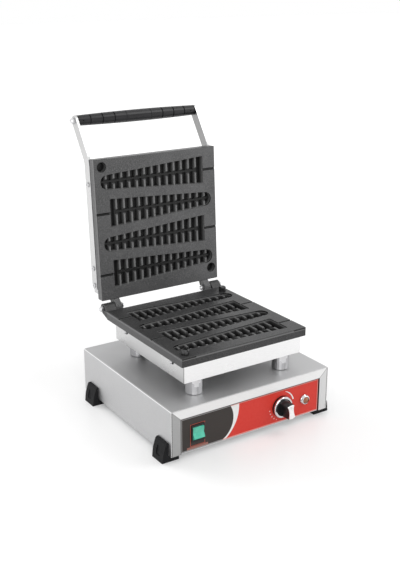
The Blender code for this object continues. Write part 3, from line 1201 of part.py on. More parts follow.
def main():
    clear_scene()
    surfaces = {
        "steel": ((0.52, 0.53, 0.54), 0.34, 1.0),
        "bright_steel": ((0.80, 0.80, 0.80), 0.30, 1.0),
        "brushed": ((0.70, 0.70, 0.71), 0.32, 1.0),
        "galvanised": ((0.55, 0.56, 0.57), 0.45, 1.0),
        "zinc": ((0.62, 0.62, 0.63), 0.30, 1.0),
        "chrome": ((0.80, 0.80, 0.81), 0.12, 1.0),
        "silver": ((0.78, 0.78, 0.79), 0.28, 1.0),
        "cast_coating": ((0.09, 0.09, 0.095), 0.55, 0.0),
        "heater": ((0.16, 0.15, 0.14), 0.50, 1.0),
        "panel": ((0.60, 0.06, 0.04), 0.40, 0.0),
        "black": ((0.012, 0.012, 0.013), 0.38, 0.0),
        "grip": ((0.030, 0.030, 0.031), 0.45, 0.0),
        "rubber": ((0.016, 0.016, 0.017), 0.60, 0.0),
        "rocker": ((0.06, 0.46, 0.28), 0.30, 0.0),
        "lens": ((0.30, 0.11, 0.03), 0.15, 0.0),
        "nylon": ((0.75, 0.73, 0.68), 0.50, 0.0),
    }
    case = add_empty("case_frame", (0, CASE_FRONT, FOOT_HEIGHT))
    hinge_place = (0, CASE_FRONT + HINGE_SETBACK, HINGE_HEIGHT)
    hinge = add_empty("plate_frame", hinge_place)
    lid = add_empty("lid_frame", hinge_place, -LID_LEAN)
    build_case(case, surfaces)
    build_feet(case, surfaces)
    build_columns(case, surfaces)
    build_housing(case, surfaces)
    build_plates(hinge, lid, surfaces)
    build_hinges(hinge, surfaces)
    build_heaters(hinge, lid, surfaces)
    build_lid(lid, surfaces)
    build_switch(case, surfaces)
    build_thermostat(case, surfaces)
    build_lamp(case, surfaces)
    build_mains_entry(case, surfaces)


main()
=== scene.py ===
"""Studio scene for the waffle stick maker: finishes, printed panel, light and camera.

Everything is in metres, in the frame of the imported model. The front faces -Y and Z is up.
"""
import json
import math

import bpy
from mathutils import Matrix, Vector


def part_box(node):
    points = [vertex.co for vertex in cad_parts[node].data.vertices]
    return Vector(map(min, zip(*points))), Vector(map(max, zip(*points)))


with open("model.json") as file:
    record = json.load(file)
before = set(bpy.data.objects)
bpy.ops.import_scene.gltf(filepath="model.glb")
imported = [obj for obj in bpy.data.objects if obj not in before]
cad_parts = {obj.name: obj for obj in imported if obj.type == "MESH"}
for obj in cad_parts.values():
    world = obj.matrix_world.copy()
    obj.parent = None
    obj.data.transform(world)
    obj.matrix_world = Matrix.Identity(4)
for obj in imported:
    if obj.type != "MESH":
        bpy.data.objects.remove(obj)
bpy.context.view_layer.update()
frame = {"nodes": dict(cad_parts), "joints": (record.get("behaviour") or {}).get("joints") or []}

NODES = frame["nodes"]
LID_LEAN = math.radians(3.25)
LID_BACK = (0, math.cos(LID_LEAN), -math.sin(LID_LEAN))
LID_UP = (0, math.sin(LID_LEAN), math.cos(LID_LEAN))
HINGE = next(joint["pos_m"] for joint in frame["joints"] if joint["name"] == "lid_hinge")

# Half widths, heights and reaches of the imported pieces
CASE_HALF, _, CASE_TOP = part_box("case_shell")[1]
PLATE_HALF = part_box("lower_plate")[1][0]
PLATE_FAR = HINGE[1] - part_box("lower_plate")[0][1]
ARM_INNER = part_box("arm_right")[0][0]
HOUSING_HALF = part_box("lower_housing")[1][0]
HOUSING_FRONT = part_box("lower_housing")[0][1]
FRAME_HALF, _, FRAME_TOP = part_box("front_frame")[1]
OPENING_HALF, OPENING_TOP = 0.1415, 0.0734
MOULD_END = 0.0984

# The printed panel, with X from its middle and heights from PANEL_FOOT
PANEL_FOOT = 0.012
PANEL_EDGES = (-0.1403, 0.1403, 0.0015, 0.0602)
INNER_ARC = (-0.0796, 0.0379, 0.0406)
OUTER_ARC = (-0.0949, 0.0550, 0.0670)
KNOB = (0.0605, 0.0300)
SWITCH = (-0.1090, 0.0270)
SCALE_RADIUS = 0.0262
TICK_PITCH = math.radians(15)
PRINT_EDGE = 0.00025
WHITE = (0.86, 0.86, 0.85, 1)
RED = (0.660, 0.036, 0.024, 1)
RED_LIGHT = (0.680, 0.046, 0.031, 1)
CHARCOAL = (0.034, 0.028, 0.025, 1)

# Stretch of a noise whose lines run along X, along Y or along Z
ACROSS = (2.0, 60.0, 60.0)
DEEP = (60.0, 2.0, 60.0)
UPRIGHT = (60.0, 60.0, 2.0)

FLOOR_REACH = 12.0
LAMP_AIM = (0, 0, 0.22)

SIDES = ("left", "right")
ENDS = ("front_left", "front_right", "rear_left", "rear_right")
SHEETS = ["case_shell", "front_frame", "lower_housing", "upper_cover", "control_panel"]
PLATES = ["lower_plate", "upper_plate"]
ARMS = ["arm_left", "arm_right"]
SWITCH_PARTS = ["switch_body", "rocker_button"]


def grey(value):
    return (value, value, value, 1)


def scaled_colour(colour, factor, lift=0.0):
    """A colour times a factor, held at white, with its alpha."""
    return (*(min(1.0, part * factor + lift) for part in colour), 1)


class Surface:
    """A Principled material with short ways to add nodes to it."""

    def __init__(self, name, colour, roughness, metallic=0.0, **settings):
        self.material = bpy.data.materials.new(name)
        self.material.use_nodes = True
        self.tree = self.material.node_tree
        self.shader = self.tree.nodes["Principled BSDF"]
        self.set("Base Color", (*colour, 1))
        self.set("Roughness", roughness)
        self.set("Metallic", metallic)
        for key, value in settings.items():
            self.set(key.replace("_", " "), value)
        coordinates = self.add("ShaderNodeTexCoord")
        self.place = coordinates.outputs["Object"]
        self.turned = coordinates.outputs["Normal"]

    def set(self, socket, value):
        self.shader.inputs[socket].default_value = value

    def add(self, kind, *inputs, **settings):
        """A node with its settings and its first inputs, each a socket or a value."""
        node = self.tree.nodes.new(kind)
        for key, value in settings.items():
            setattr(node, key, value)
        for socket, value in zip(node.inputs, inputs):
            self.feed(socket, value)
        return node

    def feed(self, socket, value):
        if isinstance(value, bpy.types.NodeSocket):
            self.tree.links.new(value, socket)
        elif value is not None:
            socket.default_value = value

    def link(self, value, socket):
        self.tree.links.new(value, self.shader.inputs[socket])

    def math(self, operation, *inputs, clamp=False):
        return self.add("ShaderNodeMath", *inputs, operation=operation, use_clamp=clamp).outputs[0]

    def scaled(self, stretch):
        node = self.add("ShaderNodeMapping", self.place)
        node.inputs["Scale"].default_value = stretch
        return node.outputs[0]

    def noise(self, scale, detail=2.0, stretch=None, roughness=0.5):
        node = self.add("ShaderNodeTexNoise")
        self.feed(node.inputs["Vector"], self.scaled(stretch) if stretch else self.place)
        node.inputs["Scale"].default_value = scale
        node.inputs["Detail"].default_value = detail
        node.inputs["Roughness"].default_value = roughness
        return node.outputs["Fac"]

    def spread(self, value, low, high, new_low=0.0, new_high=1.0, smooth=False):
        """Map a range to another one, held at both ends."""
        node = self.add("ShaderNodeMapRange", value, low, high, new_low, new_high)
        if smooth:
            node.interpolation_type = "SMOOTHSTEP"
        return node.outputs[0]

    def mix(self, factor, first, second):
        """The first colour at 0, the second at 1."""
        node = self.add("ShaderNodeMix", data_type="RGBA")
        self.feed(node.inputs[0], factor)
        self.feed(node.inputs[6], first)
        self.feed(node.inputs[7], second)
        return node.outputs[2]

    def shades(self, value, low, high, first, second):
        """Mix two colours as a value goes from low to high."""
        return self.mix(self.spread(value, low, high), first, second)

    def product(self, *masks):
        result = masks[0]
        for mask in masks[1:]:
            result = self.math("MULTIPLY", result, mask)
        return result

    def opposite(self, mask):
        return self.math("SUBTRACT", 1.0, mask)

    def along(self, vector, direction):
        """How far a vector goes along a direction."""
        return self.add("ShaderNodeVectorMath", vector, direction, operation="DOT_PRODUCT").outputs["Value"]

    def bump(self, height, distance, strength=1.0):
        node = self.add("ShaderNodeBump")
        node.inputs["Strength"].default_value = strength
        node.inputs["Distance"].default_value = distance
        self.feed(node.inputs["Height"], height)
        self.link(node.outputs[0], "Normal")

    def edges(self, radius, low=0.02, high=0.20):
        """1 on sharp edges, fading to 0 a radius away from them."""
        round_normal = self.add("ShaderNodeBevel", radius, samples=6).outputs[0]
        flat_normal = self.add("ShaderNodeNewGeometry").outputs["True Normal"]
        return self.spread(self.along(round_normal, flat_normal), 1 - high, 1 - low, 1.0, 0.0)

    def axes(self):
        """X, Y and Z of the place."""
        node = self.add("ShaderNodeSeparateXYZ", self.place)
        return node.outputs[0], node.outputs[1], node.outputs[2]


def wear(names, material):
    for name in names:
        slots = NODES[name].data.materials
        slots.clear()
        slots.append(material)


def rounding_group(limit):
    """Geometry nodes that shade a mesh smooth, apart from edges sharper than the limit in radians."""
    group = bpy.data.node_groups.new("smooth_faces", "GeometryNodeTree")
    group.interface.new_socket("Mesh", in_out="INPUT", socket_type="NodeSocketGeometry")
    group.interface.new_socket("Mesh", in_out="OUTPUT", socket_type="NodeSocketGeometry")
    start = group.nodes.new("NodeGroupInput")
    end = group.nodes.new("NodeGroupOutput")
    angle = group.nodes.new("GeometryNodeInputMeshEdgeAngle")
    sharper = group.nodes.new("ShaderNodeMath")
    sharper.operation = "GREATER_THAN"
    sharper.inputs[1].default_value = limit
    group.links.new(angle.outputs["Unsigned Angle"], sharper.inputs[0])
    edges = group.nodes.new("GeometryNodeSetShadeSmooth")
    edges.domain = "EDGE"
    edges.inputs["Shade Smooth"].default_value = False
    faces = group.nodes.new("GeometryNodeSetShadeSmooth")
    faces.domain = "FACE"
    faces.inputs["Shade Smooth"].default_value = True
    group.links.new(start.outputs[0], faces.inputs["Geometry"])
    group.links.new(faces.outputs[0], edges.inputs["Geometry"])
    group.links.new(sharper.outputs[0], edges.inputs["Selection"])
    group.links.new(edges.outputs[0], end.inputs[0])
    return group


def shade_smooth(angle=34):
    group = rounding_group(math.radians(angle))
    for node in NODES.values():
        modifier = node.modifiers.new("smooth", "NODES")
        modifier.node_group = group


def soften(names, width, angle=35):
    """Round the sharp edges a little, so that they catch the light."""
    for name in names:
        bevel = NODES[name].modifiers.new("edge", "BEVEL")
        bevel.width = width
        bevel.segments = 2
        bevel.limit_method = "ANGLE"
        bevel.angle_limit = math.radians(angle)
        bevel.use_clamp_overlap = True


def flatten(names):
    """Keep the broad faces flat beside their rounded edges."""
    for name in names:
        weight = NODES[name].modifiers.new("flat", "WEIGHTED_NORMAL")
        weight.keep_sharp = True


def sheet_steel(name, colour, roughness, grain=ACROSS, top=None, inner=None):
    """Brushed sheet: fine lines along one way, faint smears, and edges lightened by edge wear and a painted
    highlight.

    The case's top is painted a shade darker than its sides and is rougher; a bright painted highlight runs
    where it meets the sides.
    Faces inside of X = inner, towards the hot plates, are darkened with painted shade.
    """
    skin = Surface(name, colour, roughness, 1.0)
    lines = skin.noise(60.0, 3.0, grain, 0.6)
    smear = skin.noise(9.0, 3.0)
    paint = skin.shades(lines, 0.3, 0.7, scaled_colour(colour, 0.92), scaled_colour(colour, 1.06))
    x, _, z = skin.axes()
    side = skin.math("ABSOLUTE", x)
    if top:
        # painted shade: the top takes a slightly darker colour than the sides; the same mask makes it
        # rougher
        lift = skin.spread(z, CASE_TOP - 0.0004, CASE_TOP - 0.0001)
        paint = skin.mix(lift, paint, (*top, 1))
        # painted highlight: a bright line along the bend between top and sides
        fold_highlight = skin.product(skin.spread(z, CASE_TOP - 0.0020, CASE_TOP - 0.0012),
                            skin.spread(side, CASE_HALF - 0.0014, CASE_HALF - 0.0008))
        paint = skin.mix(fold_highlight, paint, grey(1.0))
        smear = skin.math("ADD", smear, skin.product(lift, 0.35))
    if inner:
        # painted shade on the faces inside of X = inner
        inner_shade = skin.spread(side, inner + 0.0002, inner + 0.0006, 1.0, 0.0)
        paint = skin.mix(skin.product(inner_shade, 0.5), paint, grey(0.05))
    # edges lightened nearly to white: partly edge wear, partly a painted highlight
    skin.link(skin.mix(skin.product(skin.edges(0.0007), 0.9), paint, grey(0.97)), "Base Color")
    smeared = skin.spread(smear, 0.35, 1.05, roughness - 0.05, roughness + 0.19)
    skin.link(skin.math("ADD", smeared, skin.spread(lines, 0.3, 0.7, -0.03, 0.04)), "Roughness")
    skin.bump(lines, 0.00002, 0.5)
    return skin.material


def polished_sheet(name, tone, roughness):
    """A start for the smoother sheets, with the mask of their brushed lines."""
    skin = Surface(name, (tone, tone, tone), roughness, 1.0)
    lines = skin.noise(60.0, 3.0, ACROSS, 0.6)
    skin.link(skin.spread(skin.noise(9.0, 3.0), 0.35, 0.7, roughness - 0.05, roughness + 0.07), "Roughness")
    skin.bump(lines, 0.00002, 0.5)
    return skin, skin.spread(lines, 0.3, 0.7)


def housing_steel():
    """The housing's bright front and sides darkened with painted shade, parted by a dark corner seam."""
    skin, lines = polished_sheet("housing_steel", 0.78, 0.30)
    x, y, _ = skin.axes()
    side = skin.math("ABSOLUTE", x)
    # painted shade: the sides take a darker copy of the front's steel
    front = skin.mix(lines, grey(0.79), grey(0.89))
    side_painted_light = skin.mix(lines, grey(0.58), grey(0.66))
    paint = skin.mix(skin.spread(side, HOUSING_HALF - 0.0006, HOUSING_HALF - 0.0003), front, side_painted_light)
    seam = skin.product(skin.math("GREATER_THAN", side, HOUSING_HALF - 0.0003),
                        skin.math("COMPARE", y, HOUSING_FRONT + 0.0016, 0.0007))
    skin.link(skin.mix(skin.product(seam, 0.8), paint, grey(0.12)), "Base Color")
    return skin.material


def frame_steel():
    """The front frame: a bright rail mitred to stiles painted darker with shade, the left one darkest, with
    dark seams at the joints and a painted shadow along the opening's edges.
    """
    skin, lines = polished_sheet("frame_steel", 0.80, 0.32)
    x, _, z = skin.axes()
    side = skin.math("ABSOLUTE", x)
    over = skin.spread(side, OPENING_HALF, FRAME_HALF)
    above = skin.spread(z, OPENING_TOP, FRAME_TOP)
    past_mitre = skin.math("SUBTRACT", over, above)
    # painted light: rail and stiles are lit and shaded copies of one steel; the stiles go from dark at the
    # left to light at the right
    rail = skin.mix(lines, grey(0.74), grey(0.84))
    stile_shade = skin.mix(lines, grey(0.36), grey(0.42))
    stile_shade = skin.mix(skin.spread(x, -0.1, 0.1, 0.0, 0.6), stile_shade, grey(0.80))
    paint = skin.mix(skin.spread(past_mitre, 0.0, 0.03), rail, stile_shade)
    mitre = skin.product(skin.spread(skin.math("ABSOLUTE", past_mitre), 0.02, 0.07, 1.0, 0.0),
                         skin.math("GREATER_THAN", above, 0.01))
    # painted shadow along the edges of the opening
    opening_shadow = skin.spread(skin.math("MAXIMUM", over, above), 0.04, 0.08, 1.0, 0.0)
    seam = skin.math("MAXIMUM", skin.math("GREATER_THAN", side, FRAME_HALF - 0.0007), opening_shadow)
    seam = skin.math("MAXIMUM", skin.product(mitre, 0.6), seam)
    # dark lines: joints at the outer edge and the mitre, and the painted shadow at the opening
    skin.link(skin.mix(seam, paint, grey(0.10)), "Base Color")
    return skin.material


def bright_metal(name, colour, roughness):
    """Plated metal with faint polishing marks."""
    skin = Surface(name, colour, roughness, 1.0)
    haze = skin.noise(90.0, 4.0)
    skin.link(skin.spread(haze, 0.3, 0.75, roughness * 0.7, roughness * 1.5), "Roughness")
    skin.link(skin.shades(haze, 0.35, 0.65, scaled_colour(colour, 0.9), (*colour, 1)), "Base Color")
    skin.bump(skin.noise(400.0, 2.0), 0.00001, 0.4)
    return skin.material


def moulded(name, colour, roughness, grain=700.0, depth=0.00003, **settings):
    """Moulded plastic or rubber with a fine spark-eroded texture and edges lightened by edge wear and a
    painted highlight.
    """
    skin = Surface(name, colour, roughness, 0.0, **settings)
    broad = skin.noise(25.0, 3.0)
    paint = skin.shades(broad, 0.35, 0.7, (*colour, 1), scaled_colour(colour, 1.25, 0.003))
    # edges lightened: partly edge wear, partly a painted highlight
    rubbed_edge_highlight = skin.product(skin.edges(0.0008), 0.8)
    skin.link(skin.mix(rubbed_edge_highlight, paint, scaled_colour(colour, 2.5, 0.02)), "Base Color")
    skin.link(skin.spread(broad, 0.3, 0.7, roughness - 0.05, roughness + 0.06), "Roughness")
    skin.bump(skin.noise(grain, 2.0), depth, 0.6)
    return skin.material


def cast_grey(value):
    return (value, value, value * 1.02, 1)


def casting(name, inward, outward, tone, side_painted_light):
    """Coated casting: specks and grain, rims and rib tops lightened by a painted highlight with some wear,
    and painted shade inside the moulds.

    inward points from the plate's face into its moulds, outward from the hinge to the plate's far edge.
    """
    skin = Surface(name, (tone, tone, tone), 0.5, 0.0, Specular_IOR_Level=0.3)
    from_hinge = skin.add("ShaderNodeVectorMath", skin.place, HINGE, operation="SUBTRACT").outputs[0]
    deep = skin.along(from_hinge, inward)
    reach = skin.along(from_hinge, outward)
    x = skin.axes()[0]
    side = skin.math("ABSOLUTE", x)
    broad = skin.noise(22.0, 4.0)
    speck = skin.spread(skin.noise(650.0, 2.0, roughness=0.7), 0.45, 0.75)
    # the first colour is painted shade for the moulds and channels, the second a painted highlight with
    # some wear
    recess_shade, wear_and_highlight = grey(tone * 0.06), grey(0.20)

    # The flat face, darkened towards its left with painted shade, and the plate's sides in a lighter tone,
    # painted light
    paint = skin.shades(broad, 0.3, 0.7, cast_grey(tone * 0.80), cast_grey(tone * 1.15))
    # painted shade towards the face's left
    paint = skin.mix(skin.spread(x, -PLATE_HALF, PLATE_HALF / 2, 0.4, 0.0), paint, grey(tone * 0.5))
    beside = skin.math("GREATER_THAN", side, PLATE_HALF - 0.0004)
    # painted light: the plate's sides take a lighter tone than its face
    paint = skin.mix(beside, paint, cast_grey(side_painted_light))
    paint = skin.mix(skin.product(speck, 0.6), paint, grey(tone * 2.8))

    # Rib tops: a painted highlight with some wear, and less rough
    crest = skin.product(skin.spread(deep, 0.0012, 0.0026), skin.spread(deep, 0.0030, 0.0046, 1.0, 0.0))
    paint = skin.mix(skin.product(crest, 0.8), paint, wear_and_highlight)

    # Inside the moulds: painted shade, black on the floors and low on the walls, with the walls higher up
    # painted lighter as if lit
    inside = skin.product(skin.spread(deep, 0.0032, 0.0070, smooth=True),
                          skin.opposite(skin.spread(deep, 0.0122, 0.0130)),
                          skin.math("LESS_THAN", side, PLATE_HALF - 0.004),
                          skin.math("LESS_THAN", reach, PLATE_FAR - 0.004))
    floor = skin.spread(skin.math("ABSOLUTE", skin.along(skin.turned, inward)), 0.30, 0.60)
    floor = skin.math("MAXIMUM", floor, skin.spread(deep, 0.0045, 0.0110, 0.0, 0.85))
    paint = skin.mix(inside, paint, skin.mix(floor, grey(tone * 1.25), recess_shade))

    # The sticks' channels, from the moulds' wide ends to the plate's sides, darkened with painted shade
    channel = skin.product(skin.math("COMPARE", deep, 0.0015, 0.0012),
                           skin.spread(side, MOULD_END, MOULD_END + 0.0006), skin.opposite(beside))
    paint = skin.mix(channel, paint, recess_shade)

    # rims near the face: lightened by a painted highlight with some wear
    near_face = skin.spread(deep, 0.0040, 0.0060, 0.75, 0.0)
    rim = skin.product(skin.edges(0.0007), near_face, skin.opposite(channel))
    skin.link(skin.mix(rim, paint, wear_and_highlight), "Base Color")
    rough = skin.math("ADD", skin.spread(broad, 0.3, 0.7, 0.34, 0.44), skin.product(speck, -0.08))
    skin.link(skin.math("ADD", rough, skin.product(crest, -0.12)), "Roughness")
    grain = skin.math("ADD", skin.noise(900.0, 3.0), skin.product(skin.noise(300.0, 2.0), 1.6))
    skin.bump(grain, 0.00020, 0.8)
    return skin.material


def printed_panel():
    """Charcoal and red fields with a plain curved white stripe, thin frames and a knob scale."""
    skin = Surface("panel_print", (0.6, 0.05, 0.03), 0.38, 0.0, Specular_IOR_Level=0.3)
    x, _, height = skin.axes()
    z = skin.math("SUBTRACT", height, PANEL_FOOT)

    def distance(place):
        dx = skin.math("SUBTRACT", x, place[0])
        dz = skin.math("SUBTRACT", z, place[1])
        return skin.math("SQRT", skin.math("ADD", skin.product(dx, dx), skin.product(dz, dz)))

    def below(value, limit):
        return skin.spread(value, limit - PRINT_EDGE, limit + PRINT_EDGE, 1.0, 0.0)

    def band(value, low, high):
        return skin.product(below(value, high), skin.opposite(below(value, low)))

    def field(left, right, bottom, top):
        return skin.product(band(x, left, right), band(z, bottom, top))

    def outline(left, right, bottom, top, width):
        outer = field(left, right, bottom, top)
        inner = field(left + width, right - width, bottom + width, top - width)
        return skin.math("SUBTRACT", outer, inner, clamp=True)

    # Fields and stripe
    grain = skin.noise(220.0, 3.0)
    paint = skin.shades(grain, 0.3, 0.7, RED, RED_LIGHT)
    paint = skin.mix(below(distance(OUTER_ARC), OUTER_ARC[2]), paint, WHITE)
    dark_field = skin.math("MAXIMUM", below(distance(INNER_ARC), INNER_ARC[2]), below(x, INNER_ARC[0]))
    paint = skin.mix(dark_field, paint, CHARCOAL)

    # Thin frame round the switch and a plain bar under it
    x_switch, z_switch = SWITCH
    thin = outline(x_switch - 0.0140, x_switch + 0.0140, z_switch - 0.0195, z_switch + 0.0195, 0.0007)
    paint = skin.mix(thin, paint, (0.60, 0.10, 0.06, 1))
    bar = field(x_switch - 0.0205, x_switch + 0.0200, 0.0026, 0.0068)
    paint = skin.mix(bar, paint, (0.34, 0.15, 0.12, 1))

    # Knob scale: an arc that thickens as it turns, and a few ticks
    around = distance(KNOB)
    angle = skin.math("ARCTAN2", skin.math("SUBTRACT", x, KNOB[0]), skin.math("SUBTRACT", z, KNOB[1]))
    off_line = skin.math("ABSOLUTE", skin.math("SUBTRACT", around, SCALE_RADIUS))
    arc = skin.math("LESS_THAN", off_line, skin.spread(angle, 0.3, 1.3, 0.0004, 0.0014))
    arc = skin.product(arc, band(angle, 0.32, 1.32))
    turn = skin.math("FRACT", skin.math("DIVIDE", skin.math("ADD", angle, math.tau), TICK_PITCH))
    tick = skin.math("LESS_THAN", skin.math("ABSOLUTE", skin.math("SUBTRACT", turn, 0.5)), 0.09)
    ticks = skin.product(tick, band(around, 0.0236, 0.0256), band(angle, -2.75, -1.50))
    paint = skin.mix(skin.math("MAXIMUM", arc, ticks), paint, WHITE)

    # Pale line along the panel's edges
    line = skin.mix(dark_field, (0.78, 0.34, 0.30, 1), (0.36, 0.35, 0.35, 1))
    paint = skin.mix(skin.product(outline(*PANEL_EDGES, 0.0016), 0.8), paint, line)
    skin.link(paint, "Base Color")
    skin.link(skin.spread(grain, 0.3, 0.7, 0.34, 0.44), "Roughness")
    skin.bump(skin.noise(900.0, 2.0), 0.00002, 0.35)
    return skin.material


def rocker_plastic():
    """Cloudy green plastic, as if lit a little from inside."""
    skin = Surface("rocker_green", (0.05, 0.42, 0.27), 0.22, 0.0, Coat_Weight=0.4, Coat_Roughness=0.1,
                   Subsurface_Weight=0.25, Subsurface_Radius=(0.002, 0.004, 0.003))
    cloud = skin.noise(120.0, 3.0)
    skin.link(skin.shades(cloud, 0.3, 0.7, (0.05, 0.47, 0.32, 1), (0.10, 0.58, 0.42, 1)), "Base Color")
    skin.link(skin.spread(cloud, 0.3, 0.7, 0.18, 0.28), "Roughness")
    skin.bump(skin.noise(600.0, 2.0), 0.00001, 0.4)
    return skin.material


def amber_lens():
    """Amber lens with moulded rings."""
    skin = Surface("lens_amber", (0.40, 0.14, 0.04), 0.12, 0.0, Coat_Weight=0.6, Coat_Roughness=0.05)
    rings = skin.add("ShaderNodeTexWave", skin.place, wave_type="RINGS", rings_direction="Y")
    rings.inputs["Scale"].default_value = 260.0
    cloud = skin.noise(300.0, 2.0)
    skin.link(skin.shades(cloud, 0.3, 0.7, (0.24, 0.060, 0.012, 1), (0.44, 0.14, 0.035, 1)), "Base Color")
    skin.link(skin.spread(cloud, 0.3, 0.7, 0.08, 0.16), "Roughness")
    skin.bump(rings.outputs["Fac"], 0.0001, 0.4)
    return skin.material


def each(name, places):
    return [f"{name}_{place}" for place in places]


def dress():
    """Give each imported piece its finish."""
    # the case's top colour below is painted shade
    wear(["case_shell"],
         sheet_steel("case_steel", (0.56, 0.56, 0.565), 0.40, DEEP, top=(0.53, 0.53, 0.535)))
    wear(["upper_cover"], sheet_steel("cover_steel", (0.56, 0.56, 0.565), 0.35))
    wear(["front_frame"], frame_steel())
    wear(["lower_housing"], housing_steel())
    wear(ARMS, sheet_steel("arm_steel", (0.55, 0.55, 0.55), 0.30, UPRIGHT, inner=ARM_INNER))
    wear(["base_pan", "lower_clamp_sheet", "upper_clamp_sheet", "thermostat_body"],
         sheet_steel("galvanised", (0.55, 0.56, 0.57), 0.42, (20.0, 20.0, 20.0)))
    wear(["lower_heater", "upper_heater"],
         sheet_steel("heater_sheath", (0.20, 0.18, 0.16), 0.5, (9.0, 9.0, 9.0)))

    # painted shade: the lower plate's face is given a much darker tone than the upper plate's, though both
    # are one coating
    wear(["lower_plate"], casting("casting_lower", (0, 0, -1), (0, -1, 0), 0.034, 0.082))
    wear(["upper_plate"], casting("casting_upper", LID_BACK, LID_UP, 0.085, 0.110))

    wear(each("locating_peg", SIDES), bright_metal("peg_steel", (0.085, 0.085, 0.086), 0.30))
    wear(each("column", ENDS), bright_metal("column_chrome", (0.62, 0.62, 0.63), 0.06))
    wear(["knob_ring", "pilot_lamp_body"], bright_metal("chrome", (0.70, 0.70, 0.71), 0.07))
    wear(each("hinge_nut", SIDES) + each("handle_nut", SIDES) + each("hinge_pin", SIDES),
         bright_metal("nut_plating", (0.80, 0.80, 0.81), 0.16))
    screws = each("column_bolt", ENDS) + each("plate_screw", ENDS)
    for height in ("low", "middle", "high"):
        screws += each("arm_screw_" + height, SIDES)
    screws += ["lower_clamp_screw", "upper_clamp_screw", "handle_tie_rod", "thermostat_shaft"]
    wear(screws, bright_metal("zinc", (0.62, 0.62, 0.63), 0.26))
    wear(["knob_cap"], bright_metal("cap_silver", (0.92, 0.92, 0.92), 0.30))

    wear(["control_panel"], printed_panel())
    wear(["handle_grip"], moulded("grip_black", (0.007, 0.007, 0.008), 0.30, 900.0, 0.00003,
                                  Specular_IOR_Level=0.36))
    wear(each("foot", ENDS), moulded("rubber_black", (0.009, 0.009, 0.010), 0.55, 500.0, 0.00006,
                                     Specular_IOR_Level=0.15))
    wear(["switch_body", "thermostat_knob", "cable_gland", "gland_nut"],
         moulded("plastic_black", (0.010, 0.010, 0.011), 0.32, 1200.0, 0.00001, Specular_IOR_Level=0.35))
    wear(["terminal_block"], moulded("nylon", (0.72, 0.70, 0.64), 0.5))
    wear(["rocker_button"], rocker_plastic())
    wear(["pilot_lamp_lens"], amber_lens())


def soft_light(name, place, size, power):
    """A square or oblong lamp turned to the middle of the object."""
    data = bpy.data.lights.new(name, "AREA")
    data.shape = "RECTANGLE"
    data.size, data.size_y = size
    data.energy = power
    lamp = bpy.data.objects.new(name, data)
    bpy.context.scene.collection.objects.link(lamp)
    lamp.location = place
    lamp.rotation_euler = (Vector(LAMP_AIM) - Vector(place)).to_track_quat("-Z", "Y").to_euler()
    return lamp


def seen_directly(tree):
    """1 for camera, glossy and transmission rays, else 0."""
    path = tree.nodes.new("ShaderNodeLightPath")
    total = path.outputs["Is Camera Ray"]
    for ray in ("Is Glossy Ray", "Is Transmission Ray"):
        node = tree.nodes.new("ShaderNodeMath")
        node.operation = "MAXIMUM"
        tree.links.new(total, node.inputs[0])
        tree.links.new(path.outputs[ray], node.inputs[1])
        total = node.outputs[0]
    return total


def pale_world():
    """Plain white surroundings, softer where they only light the scene."""
    world = bpy.data.worlds.new("studio")
    bpy.context.scene.world = world
    world.use_nodes = True
    tree = world.node_tree
    sky = tree.nodes["Background"]
    sky.inputs["Color"].default_value = grey(1)
    strength = tree.nodes.new("ShaderNodeMapRange")
    strength.inputs["To Min"].default_value = 0.6
    strength.inputs["To Max"].default_value = 1.0
    tree.links.new(seen_directly(tree), strength.inputs["Value"])
    tree.links.new(strength.outputs[0], sky.inputs["Strength"])


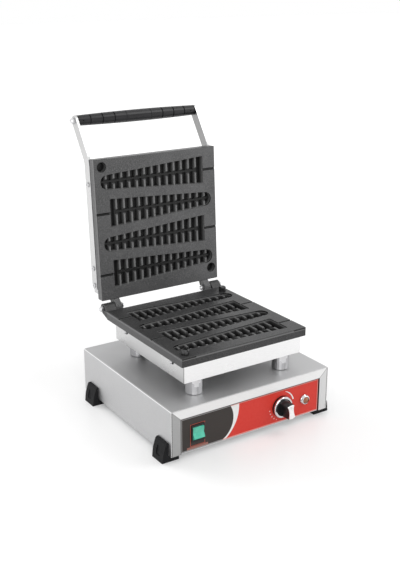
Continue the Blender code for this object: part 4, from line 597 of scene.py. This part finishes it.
def floor_finish():
    """Pale and slightly glossy; its glow is dimmer near the object, a painted shadow, and rises to the
    white background away from it.
    """
    material = bpy.data.materials.new("floor_white")
    material.use_nodes = True
    tree = material.node_tree
    shader = tree.nodes["Principled BSDF"]
    shader.inputs["Base Color"].default_value = grey(0.78)
    shader.inputs["Roughness"].default_value = 0.30
    shader.inputs["Specular IOR Level"].default_value = 0.2
    shader.inputs["Emission Color"].default_value = grey(1)
    place = tree.nodes.new("ShaderNodeTexCoord")
    away = tree.nodes.new("ShaderNodeVectorMath")
    away.operation = "LENGTH"
    tree.links.new(place.outputs["Object"], away.inputs[0])
    # painted shadow: the floor's glow is weaker near the object and stronger away from it
    shadow_falloff = tree.nodes.new("ShaderNodeMapRange")
    for name, value in (("From Min", 0.22), ("From Max", 2.0), ("To Min", 0.21), ("To Max", 0.50)):
        shadow_falloff.inputs[name].default_value = value
    tree.links.new(away.outputs["Value"], shadow_falloff.inputs["Value"])
    glow = tree.nodes.new("ShaderNodeMath")
    glow.operation = "MULTIPLY"
    tree.links.new(seen_directly(tree), glow.inputs[0])
    tree.links.new(shadow_falloff.outputs[0], glow.inputs[1])
    tree.links.new(glow.outputs[0], shader.inputs["Emission Strength"])
    return material


def studio():
    """Pale floor, plain world and soft lamps."""
    pale_world()
    mesh = bpy.data.meshes.new("floor")
    corners = [(x * FLOOR_REACH, y * FLOOR_REACH, 0) for x, y in ((-1, -1), (1, -1), (1, 1), (-1, 1))]
    mesh.from_pydata(corners, [], [(0, 1, 2, 3)])
    mesh.materials.append(floor_finish())
    floor = bpy.data.objects.new("floor", mesh)
    bpy.context.scene.collection.objects.link(floor)

    soft_light("key", (-1.1, -1.9, 1.9), (1.5, 1.5), 22)
    soft_light("fill", (1.8, -1.2, 0.9), (1.2, 1.6), 6)
    rim = soft_light("rim", (-0.9, 2.0, 1.5), (1.6, 0.7), 24)
    rim.visible_glossy = False
    soft_light("overhead", (1.0, -0.6, 1.9), (1.0, 1.0), 8)


def camera():
    """Camera at the photograph's angle; the long side of the picture takes the sensor's width."""
    data = bpy.data.cameras.new("camera")
    data.sensor_fit = "AUTO"
    data.sensor_width = 36.0
    data.lens = 57.07
    view = bpy.data.objects.new("camera", data)
    bpy.context.scene.collection.objects.link(view)
    ahead = Vector((0.5173, 0.7912, -0.3261)).normalized()
    right = ahead.cross(Vector((0, 0, 1))).normalized()
    up = right.cross(ahead)
    turn = Matrix((right, up, -ahead)).transposed().to_4x4()
    view.matrix_world = Matrix.Translation((-0.8135, -1.2614, 0.7377)) @ turn
    bpy.context.scene.camera = view


dress()
soften(SHEETS + SWITCH_PARTS + ["thermostat_knob"], 0.0003)
soften(ARMS, 0.0004)
soften(PLATES, 0.0004, 50)
shade_smooth()
flatten(SHEETS + SWITCH_PARTS + ARMS + PLATES)
studio()
camera()
bpy.context.scene.view_settings.view_transform = "Standard"
